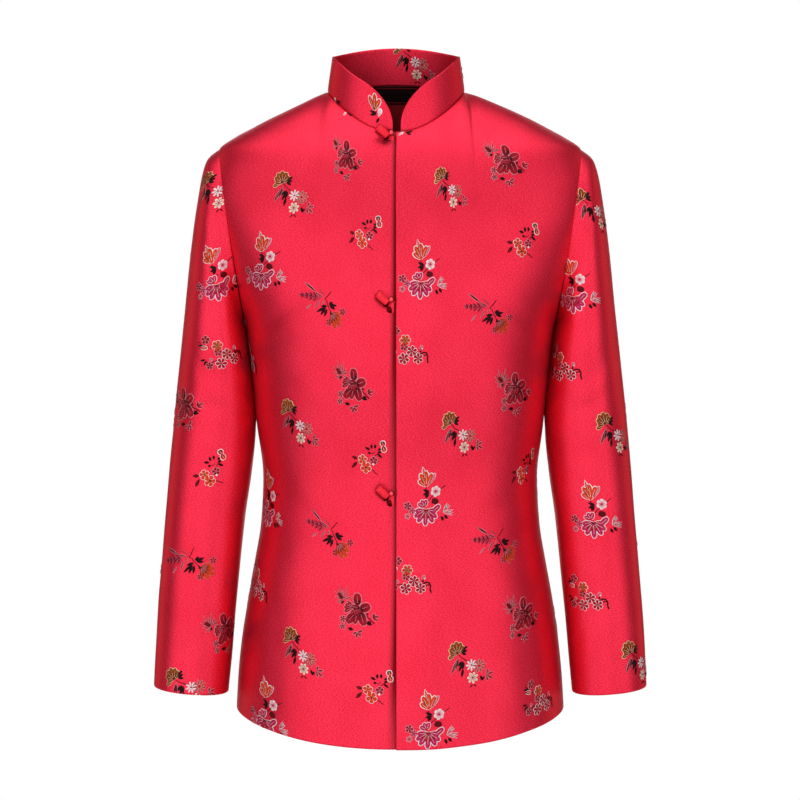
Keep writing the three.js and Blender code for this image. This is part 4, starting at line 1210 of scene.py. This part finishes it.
def weave_sprays(name, flat, places, mirror=1):
    """One mesh of all the sprays on a piece. Faces that would hang over its edge are left out."""
    points, normals, faces, colours, threads = [], [], [], [], []
    for kind, u, v, turn in places:
        spray = SPRAYS[kind]
        c, s = math.cos(math.radians(turn)), math.sin(math.radians(turn))
        numbers = []
        for x, y, height in spray.points:
            placed = flat.place(u + mirror * (x * c - y * s), v + x * s + y * c, height)
            numbers.append(len(points) if placed else None)
            if placed:
                points.append(placed[0])
                normals.append(placed[1])
        for corners, tones, strands in zip(spray.faces, spray.colours, spray.threads):
            face = [numbers[i] for i in corners]
            if None in face:
                continue
            faces.append(face)
            colours += tones
            threads += strands
    piece = new_piece(name, points, faces, THREAD)
    mesh = piece.data
    layer = mesh.color_attributes.new("thread_colour", "FLOAT_COLOR", "CORNER")
    layer.data.foreach_set("color", np.array(colours, float).reshape(-1))
    mesh.uv_layers.new(name="threads").data.foreach_set("uv", (np.array(threads, float) * MM).reshape(-1))
    if mesh.polygons[0].normal.dot(Vector(normals[faces[0][0]])) < 0:
        mesh.flip_normals()
    return piece


# where the sprays show from the front: kind, x and z
RIGHT_FRONT_SPRAYS = (
    ("peony", -62.5, -67), ("peony", -54.8, -320), ("peony", -51.5, -567.6),
    ("fan", -118.6, -105.6), ("fan", -113, -358.6), ("fan", -109.8, -611.6),
    ("bud", -148.3, -184.8), ("bud", -142.8, -446.6), ("bud", -145, -677.6),
    ("feather", -85.6, -229.9), ("feather", -79, -482.9),
    ("blossom", -37.2, -155.1), ("blossom", -32.8, -402.6), ("blossom", -26.2, -655.6),
    ("plum", -162.6, -287.1), ("plum", -156, -536.8), ("sprig", -59.7, -21),
)
LEFT_FRONT_SPRAYS = (
    ("peony", 113.5, -72.6), ("peony", 123.4, -325.6), ("peony", 132.2, -573.1),
    ("fan", 55.2, -100.1), ("fan", 66.2, -369.6), ("fan", 75, -622.6),
    ("bud", 27.7, -193.6), ("bud", 33.2, -443.3), ("bud", 36.5, -688.6),
    ("feather", 95.9, -239.8), ("feather", 104.7, -493.9),
    ("blossom", 137.7, -163.9), ("blossom", 137.7, -413.6),
    ("plum", 9, -279.4), ("plum", 11.2, -532.4), ("plum", 154, -664), ("sprig", 3.5, -42.5),
)
# the sleeves' sprays: as they show from the front, as they show from behind, those down the outer side by
# height alone, and how far the cloth is turned, in degrees
SLEEVE_SPRAYS = {
    -1: {
        "front": (
            ("fan", -203, -102), ("bud", -200, -195.8), ("plum", -195.6, -283.8), ("peony", -238.5, -342),
            ("blossom", -206.6, -415.8), ("feather", -234, -514.8), ("peony", -196, -590),
            ("fan", -235, -648),
        ),
        "behind": (
            ("peony", -206, -120), ("feather", -214, -215), ("fan", -204, -300), ("bud", -222, -400),
            ("blossom", -208, -470), ("peony", -232, -548), ("plum", -216, -625),
        ),
        "outer": (
            ("bud", -168), ("plum", -258), ("feather", -350), ("blossom", -435), ("fan", -510),
            ("plum", -588),
        ),
        "turn": 18,
    },
    1: {
        "front": (
            ("fan", 214, -123), ("bud", 192.7, -210.1), ("plum", 178, -298), ("fan", 236, -369.6),
            ("bud", 216, -457.6), ("plum", 205, -551), ("fan", 262, -620),
        ),
        "behind": (
            ("feather", 204, -112), ("plum", 214, -200), ("peony", 204, -292), ("blossom", 224, -372),
            ("feather", 208, -452), ("bud", 230, -548), ("blossom", 222, -628),
        ),
        "outer": (
            ("blossom", -156), ("fan", -246), ("bud", -332), ("plum", -412), ("feather", -500),
            ("blossom", -588),
        ),
        "turn": 4,
    },
}
# flat place of the sprays down the outer side, just behind the fold
SLEEVE_SIDE = 290
# the collar's: where they show from the front, and by flat place round the rest and on its inner face
COLLAR_FRONT_SPRAYS = (("bud_tip", -23, -11.7), ("sprig", -69.1, -6.7))
COLLAR_SPRAYS = [("fan", -66, 24, 0), ("plum", 12, 22, 0), ("blossom", 82, 26, 0)]
COLLAR_INNER_SPRAYS = [("fan", 18, 33, 0)]


def seen_places(flat, rows, front=True, turn=0):
    """Flat places of sprays that are given by where they show."""
    return [(kind, *flat.nearest(x, z, front), turn) for kind, x, z in rows]


def repeat_places(low, high, bottom, top):
    """Every spray of the repeat that falls in a stretch of flat cloth."""
    places = []
    for kind, (x, z) in SPRAY_PLACES.items():
        for i in range(-4, 5):
            for j in range(-1, 4):
                u, v = x + REPEAT[0] * i, z - REPEAT[1] * j
                if low < u < high and bottom < v < top:
                    places.append((kind, u, v, 0))
    return places


# ---------------------------------------------------------------- knots and loops


def deselect():
    for obj in bpy.context.selected_objects:
        obj.select_set(False)


def finished(piece, material):
    """Puts the piece's place in its mesh and gives it its finish."""
    bpy.ops.object.transform_apply(location=True, rotation=True, scale=True)
    piece.data.materials.clear()
    piece.data.materials.append(material)
    piece.data.polygons.foreach_set("use_smooth", [True] * len(piece.data.polygons))
    return piece


def rolled_cord(name, radius, length, place, lean, narrow=1.0):
    """A short roll of satin with softly rounded ends, lying across the front and narrower at one end."""
    deselect()
    radii = {"radius1": radius * MM, "radius2": radius * narrow * MM}
    bpy.ops.mesh.primitive_cone_add(vertices=28, depth=length * MM, end_fill_type="NGON", **radii)
    piece = bpy.context.object
    piece.name = name
    bpy.ops.object.mode_set(mode="EDIT")
    bpy.ops.mesh.select_mode(type="FACE")
    bpy.ops.mesh.select_all(action="DESELECT")
    bpy.ops.object.mode_set(mode="OBJECT")
    for face in piece.data.polygons:
        face.select = abs(face.normal.z) > 0.9
    bpy.ops.object.mode_set(mode="EDIT")
    for inset, rise in ((0.4, 0.28), (0.3, -0.24)):
        bpy.ops.mesh.inset(thickness=radius * inset * narrow * MM, depth=radius * rise * MM)
    bpy.ops.object.mode_set(mode="OBJECT")
    soften = piece.modifiers.new("soften", "SUBSURF")
    soften.levels = soften.render_levels = 2
    bpy.ops.object.modifier_apply(modifier="soften")
    piece.rotation_euler = (0, math.radians(90) + lean, 0)
    piece.location = [v * MM for v in place]
    return finished(piece, CORD)


def bulb(name, radius, place):
    deselect()
    bpy.ops.mesh.primitive_uv_sphere_add(segments=24, ring_count=16, radius=radius * MM)
    piece = bpy.context.object
    piece.name = name
    piece.scale = (1.04, 1.0, 1.0)
    piece.location = [v * MM for v in place]
    return finished(piece, TIGHT_CORD)


def joined(name, pieces):
    deselect()
    for piece in pieces:
        piece.select_set(True)
    bpy.context.view_layer.objects.active = pieces[0]
    bpy.ops.object.join()
    pieces[0].name = pieces[0].data.name = name
    return pieces[0]


def shade_folds(piece, shade_at):
    """Paints shade into the satin where folds press together, at rims and towards the cloth: the function
    gives 0 to 1 for points in millimetres.
    """
    mesh = piece.data
    points = np.empty(len(mesh.vertices) * 3)
    mesh.vertices.foreach_get("co", points)
    shade = np.clip(shade_at(points.reshape(-1, 3) / MM), 0, 1)
    mesh.attributes.new("painted_shade", "FLOAT", "POINT").data.foreach_set("value", shade)
    return piece


def knot_button(number, x, y, z):
    """A stout roll of satin, two flat strands pressed along its lower edge, and a small bulb at its end."""
    lean = math.radians(ROLL["lean"])
    out = KNOT["neck"] + ROLL["out"]
    c, s = math.cos(lean), math.sin(lean)
    middle = np.array([x + ROLL["x"], y - out, z + ROLL["z"]])

    def at(along, aside, depth):
        """A place from the roll's middle: along it, aside towards its lower edge, and deeper."""
        return middle + np.array([along * c - aside * s, depth, -along * s - aside * c])

    def roll_shade(p):
        """Painted shade between the strands, under the roll, at its ends and rim, and towards the cloth."""
        off = p - middle
        along, aside = off[:, 0] * c - off[:, 2] * s, -off[:, 0] * s - off[:, 2] * c
        strands = fall_off(aside - 3.55, 0.42) + 0.45 * smoothstep(aside, 3.4, 4.2)
        under = smoothstep(aside, 5.0, 5.7) * (0.5 + 0.5 * smoothstep(along, -4, 0))
        ends = smoothstep(along, 6.7, 7.4) * smoothstep(aside, -4.0, -2.0)
        rim = 0.3 * smoothstep(-aside, 4.6, 5.4) + 0.5 * smoothstep(-along, 6.6, 7.8)
        behind = 0.8 * smoothstep(off[:, 1], 2.0, 4.5)
        return strands * smoothstep(along, -8.5, -5) + under + ends + rim + behind

    bulb_place = at(*PLACE["bulb"])

    # painted shade round the bulb's rim
    def bulb_shade(p):
        return 0.95 * smoothstep(np.hypot(p[:, 0] - bulb_place[0], p[:, 2] - bulb_place[2]), 1.7, 2.75)

    name = f"knot_button_{number}_cloth"
    roll_size = (ROLL["radius"], ROLL["length"], at(*PLACE["roll"]), lean, ROLL["narrow"])
    strand_size = (STRAND["radius"], STRAND["length"], at(*PLACE["strand"]), lean)
    parts = [
        shade_folds(rolled_cord(f"{name}_roll", *roll_size), roll_shade),
        shade_folds(rolled_cord(f"{name}_strand", *strand_size), roll_shade),
        shade_folds(bulb(f"{name}_bulb", BULB_RADIUS, bulb_place), bulb_shade),
        # the neck is painted wholly in shade
        shade_folds(neck_cord(f"{name}_neck", (x, y, z), out), lambda p: np.ones(len(p))),
    ]
    return joined(name, parts)


def neck_cord(name, place, length):
    deselect()
    bpy.ops.mesh.primitive_cylinder_add(vertices=20, radius=NECK_RADIUS * MM, depth=length * MM)
    piece = bpy.context.object
    piece.name = name
    bpy.ops.object.mode_set(mode="EDIT")
    bpy.ops.mesh.select_all(action="SELECT")
    bpy.ops.mesh.subdivide(number_cuts=2)
    bpy.ops.object.mode_set(mode="OBJECT")
    piece.rotation_euler = (math.radians(90), 0, 0)
    piece.location = (place[0] * MM, (place[1] - length / 2) * MM, place[2] * MM)
    return finished(piece, CORD)


def tube(name, points, radius, material, sides=12):
    """A closed cord of round section along a path, in millimetres."""
    points = np.array(points, float)
    run = unit(np.gradient(points, axis=0))
    up = np.array([0.0, -1.0, 0.0])
    side = unit(np.cross(run, up))
    rise = unit(np.cross(side, run))
    angles = np.linspace(0, 2 * math.pi, sides + 1)[:-1]
    c, s = np.cos(angles)[:, None], np.sin(angles)[:, None]
    rings = [p + radius * (c * across + s * out) for p, across, out in zip(points, side, rise)]
    verts = np.concatenate([*rings, points[:1], points[-1:]])
    faces = []
    for k in range(len(points) - 1):
        for j in range(sides):
            n = (j + 1) % sides
            faces.append([k * sides + j, (k + 1) * sides + j, (k + 1) * sides + n, k * sides + n])
    first, last = len(verts) - 2, len(verts) - 1
    for j in range(sides):
        n = (j + 1) % sides
        faces.append([first, j, n])
        faces.append([last, (len(points) - 1) * sides + n, (len(points) - 1) * sides + j])
    piece = new_piece(name, verts, faces, material)
    wall = piece.data.polygons[0]
    if wall.normal.dot(wall.center - Vector(points[0] * MM)) < 0:
        piece.data.flip_normals()
    return piece


def smooth_path(points, count):
    """A smooth line through a few points."""
    points = np.array(points, float)
    run = np.concatenate([[0], np.cumsum(np.linalg.norm(np.diff(points, axis=0), axis=-1))])
    tangents = np.gradient(points, run, axis=0)
    out = []
    for s in np.linspace(0, run[-1], count):
        i = min(int(np.searchsorted(run, s, side="right")) - 1, len(points) - 2)
        span = run[i + 1] - run[i]
        ends = (points[i], points[i + 1], tangents[i], tangents[i + 1])
        out.append(curve_between((s - run[i]) / span, span, *ends))
    return out


# the rings of a pad's dome, as shares of its outline
DOME = (1.0, 0.94, 0.8, 0.55, 0.28)


def pad(name, outline, place, thick, rise, shade_at):
    """A flat fold of satin: a smooth outline in x and z, domed towards the front and closed behind."""
    turns = np.linspace(0, 2 * math.pi, len(outline) + 1)
    closed = np.array([*outline, outline[0]], float)
    again = np.concatenate([closed[-4:-1], closed, closed[1:4]])
    at = np.concatenate([turns[-4:-1] - 2 * math.pi, turns, turns[1:4] + 2 * math.pi])
    count = 48
    round_turns = np.linspace(0, 2 * math.pi, count + 1)[:-1]
    rim = np.stack([smooth_reader(at, again[:, k])(round_turns) for k in (0, 1)], axis=-1)
    centre = rim.mean(axis=0)
    points = [(*rim_point, thick) for rim_point in rim]
    for share in DOME:
        height = -rise * math.sqrt(1 - share**2)
        points += [(*(centre + (rim_point - centre) * share), height) for rim_point in rim]
    points += [(*centre, -rise), (*centre, thick)]
    faces = []
    top, front, behind = len(DOME) * count, len(points) - 2, len(points) - 1
    for k in range(count):
        n = (k + 1) % count
        for ring in range(0, top, count):
            faces.append([ring + k, ring + n, ring + count + n, ring + count + k])
        faces += [[n, k, behind], [top + k, top + n, front]]
    verts = [(place[0] + px, place[1] + depth, place[2] + pz) for px, pz, depth in points]
    piece = new_piece(name, verts, faces, CORD)
    if piece.data.polygons[-1].normal.y > 0:
        piece.data.flip_normals()
    return shade_folds(piece, shade_at)


def button_loop(number, x, y, z):
    """The loop round the knot's neck: a fold of cord from the left front's edge, with painted shade at the
    fold's edge, on the cord and on a sheet in its opening.
    """
    name = f"button_loop_{number}_cloth"
    place = (x + ROLL["x"], y - LOOP["fold_out"], z + ROLL["z"])
    opening = (place[0], place[1] - LOOP["hollow_out"], place[2])
    cord_y = y - LOOP["cord_out"]
    hollow_middle = (place[0] + HOLLOW_SHADE[0], place[2] + HOLLOW_SHADE[1])

    # painted shade: at the fold's outer edge and towards the cloth, over the sheet in the opening, and on
    # the cord
    def fold_shade(p):
        to_edge = smoothstep(p[:, 0] - place[0], 12.4, 13.4)
        return np.maximum(0.9 * to_edge, 0.7 * smoothstep(p[:, 1] - place[1], 0.2, 1.2))

    def hollow_shade(p):
        low = np.hypot(p[:, 0] - hollow_middle[0], p[:, 2] - hollow_middle[1])
        return 0.86 + 0.14 * fall_off(low, 2.0)

    def cord_shade(p):
        return 0.55 + 0.3 * (p[:, 1] > cord_y)

    cord = smooth_path([(x + px, cord_y, z + pz) for px, pz in LOOP_CORD], 40)
    parts = [
        shade_folds(tube(name, cord, LOOP["cord"], CORD), cord_shade),
        pad(f"{name}_fold", LOOP_FOLD, place, 1.2, 1.3, fold_shade),
        pad(f"{name}_hollow", LOOP_HOLLOW, opening, 0.8, 0.7, hollow_shade),
    ]
    return joined(name, parts)


# ---------------------------------------------------------------- the pieces


def dress(piece, node):
    """Ties a piece to the jacket's body and hides the imported part that it stands for."""
    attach(piece, "root")
    if node:
        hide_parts(node)


def declare(cloth):
    """Works out the width, length and area that a piece was cut to, from the box round it on the flat, and
    keeps none of them.
    """
    width, length = (float(np.ptp(flat)) * MM for flat in (cloth.u, cloth.v))
    area = min(cloth.area(), width * length)


def add_body():
    right, left, back = front_piece(-1), front_piece(1), back_piece()
    flat_right, flat_left, flat_back = FlatCloth(right), FlatCloth(left), FlatCloth(back)
    places = {
        "front_right": (right, flat_right, seen_places(flat_right, RIGHT_FRONT_SPRAYS)),
        "front_left": (left, flat_left, seen_places(flat_left, LEFT_FRONT_SPRAYS)),
        "back": (back, flat_back, repeat_places(*BACK_SPAN)),
    }
    for name, (cloth, flat, sprays) in places.items():
        piece = cloth.mesh(f"{name}_cloth", SATIN, LINING)
        flowers = weave_sprays(f"{name}_flowers", flat, sprays, -1 if name == "back" else 1)
        dress(piece, name)
        dress(flowers, None)
        declare(cloth)


def add_sleeves():
    for side, name in ((-1, "sleeve_right"), (1, "sleeve_left")):
        cloth = sleeve_piece(side)
        flat = FlatCloth(cloth)
        piece = cloth.mesh(f"{name}_cloth", SATIN, LINING)
        rows, turn = SLEEVE_SPRAYS[side], SLEEVE_SPRAYS[side]["turn"]
        places = seen_places(flat, rows["front"], True, turn)
        places += seen_places(flat, rows["behind"], False, turn)
        places += [(kind, side * SLEEVE_SIDE, height, turn) for kind, height in rows["outer"]]
        flowers = weave_sprays(f"{name}_flowers", flat, places)
        dress(piece, name)
        dress(flowers, None)
        declare(cloth)


def add_collar():
    cloth = collar_piece()
    piece = cloth.mesh("collar_cloth", SATIN, SATIN)
    flat = FlatCloth(cloth)
    outer = weave_sprays("collar_flowers", flat, seen_places(flat, COLLAR_FRONT_SPRAYS) + COLLAR_SPRAYS, -1)
    inner = weave_sprays("collar_inner_flowers", FlatCloth(cloth, True), COLLAR_INNER_SPRAYS)
    for made in (piece, outer, inner):
        dress(made, "collar" if made is piece else None)
    declare(cloth)


def add_label():
    cloth = label_piece()
    piece = cloth.mesh("neck_label_cloth", WOVEN_LABEL, WOVEN_LABEL)
    dress(piece, "neck_label")
    declare(cloth)


def add_buttons():
    for number, z in enumerate(KNOT["heights"], 1):
        y = float(torso_y(KNOT["x"], z, False)) - KNOT["clear"]
        dress(knot_button(number, KNOT["x"], y, z), f"knot_button_{number}")
        dress(button_loop(number, KNOT["x"], y, z), f"button_loop_{number}")


add_body()
add_sleeves()
add_collar()
add_label()
add_buttons()

# ---------------------------------------------------------------- floor, world and light

FLOOR = {"z": -1.45, "radius": 2.3}


def add_floor():
    deselect()
    bpy.ops.mesh.primitive_circle_add(vertices=96, radius=FLOOR["radius"], fill_type="NGON")
    floor = bpy.context.object
    floor.name = "floor"
    floor.location.z = FLOOR["z"]
    f = Finish("pale_floor")
    mottle = f.noise(f.place(0.004), 2.0)
    f.set(Base_Color=f.mix(mottle, (0.86, 0.86, 0.86, 1), (0.92, 0.92, 0.92, 1)), Roughness=0.8)
    finished(floor, f.material)


# the world's strength as light on the jacket, and as it shows behind it
WORLD = {"fill": 0.07, "seen": 1.0}


def add_world():
    """White all round to the eye, and a soft even fill for the cloth."""
    world = bpy.data.worlds.new("studio")
    world.use_nodes = True
    tree = world.node_tree
    background = tree.nodes["Background"]
    seen = tree.nodes.new("ShaderNodeLightPath")
    strength = tree.nodes.new("ShaderNodeMapRange")
    strength.inputs["To Min"].default_value = WORLD["fill"]
    strength.inputs["To Max"].default_value = WORLD["seen"]
    tree.links.new(seen.outputs["Is Camera Ray"], strength.inputs["Value"])
    tree.links.new(strength.outputs["Result"], background.inputs["Strength"])
    background.inputs["Color"].default_value = (1, 1, 1, 1)
    bpy.context.scene.world = world


def add_lamp(name, place, size, power, colour):
    """A broad soft box that looks at the middle of the jacket."""
    data = bpy.data.lights.new(name, "AREA")
    data.color = colour
    data.shape = "RECTANGLE"
    data.size, data.size_y = size
    data.energy = power
    lamp = bpy.data.objects.new(name, data)
    lamp.location = place
    lamp.rotation_euler = (LAMP_AIM - Vector(place)).to_track_quat("-Z", "Y").to_euler()
    bpy.context.scene.collection.objects.link(lamp)


# an arc of white lamps before the jacket, one above and one behind, and two weaker warm ones that rim the
# sleeves: place, size, power and colour
LAMP_AIM = Vector((0, 0, -0.35))
PLAIN, WARM = (1, 1, 1), (1.0, 0.35, 0.3)
LAMPS = {
    "left": ((-2.0, -2.1, -0.1), (2.2, 3.0), 34, PLAIN),
    "front": ((-0.1, -3.2, -0.1), (1.8, 3.0), 33, PLAIN),
    "right": ((2.0, -2.1, -0.1), (2.2, 3.0), 33, PLAIN),
    "top": ((0, -0.6, 2.1), (3.6, 2.4), 56, PLAIN),
    "back": ((0, 2.9, 0.0), (2.6, 3.0), 26, PLAIN),
    "left_rim": ((-2.6, 1.3, -0.1), (1.6, 3.0), 12, WARM),
    "right_rim": ((2.6, 1.3, -0.1), (1.6, 3.0), 12, WARM),
}

add_floor()
add_world()
for name, lamp in LAMPS.items():
    add_lamp(name, *lamp)
bpy.context.scene.view_settings.view_transform = "Standard"

bpy.context.view_layer.update()
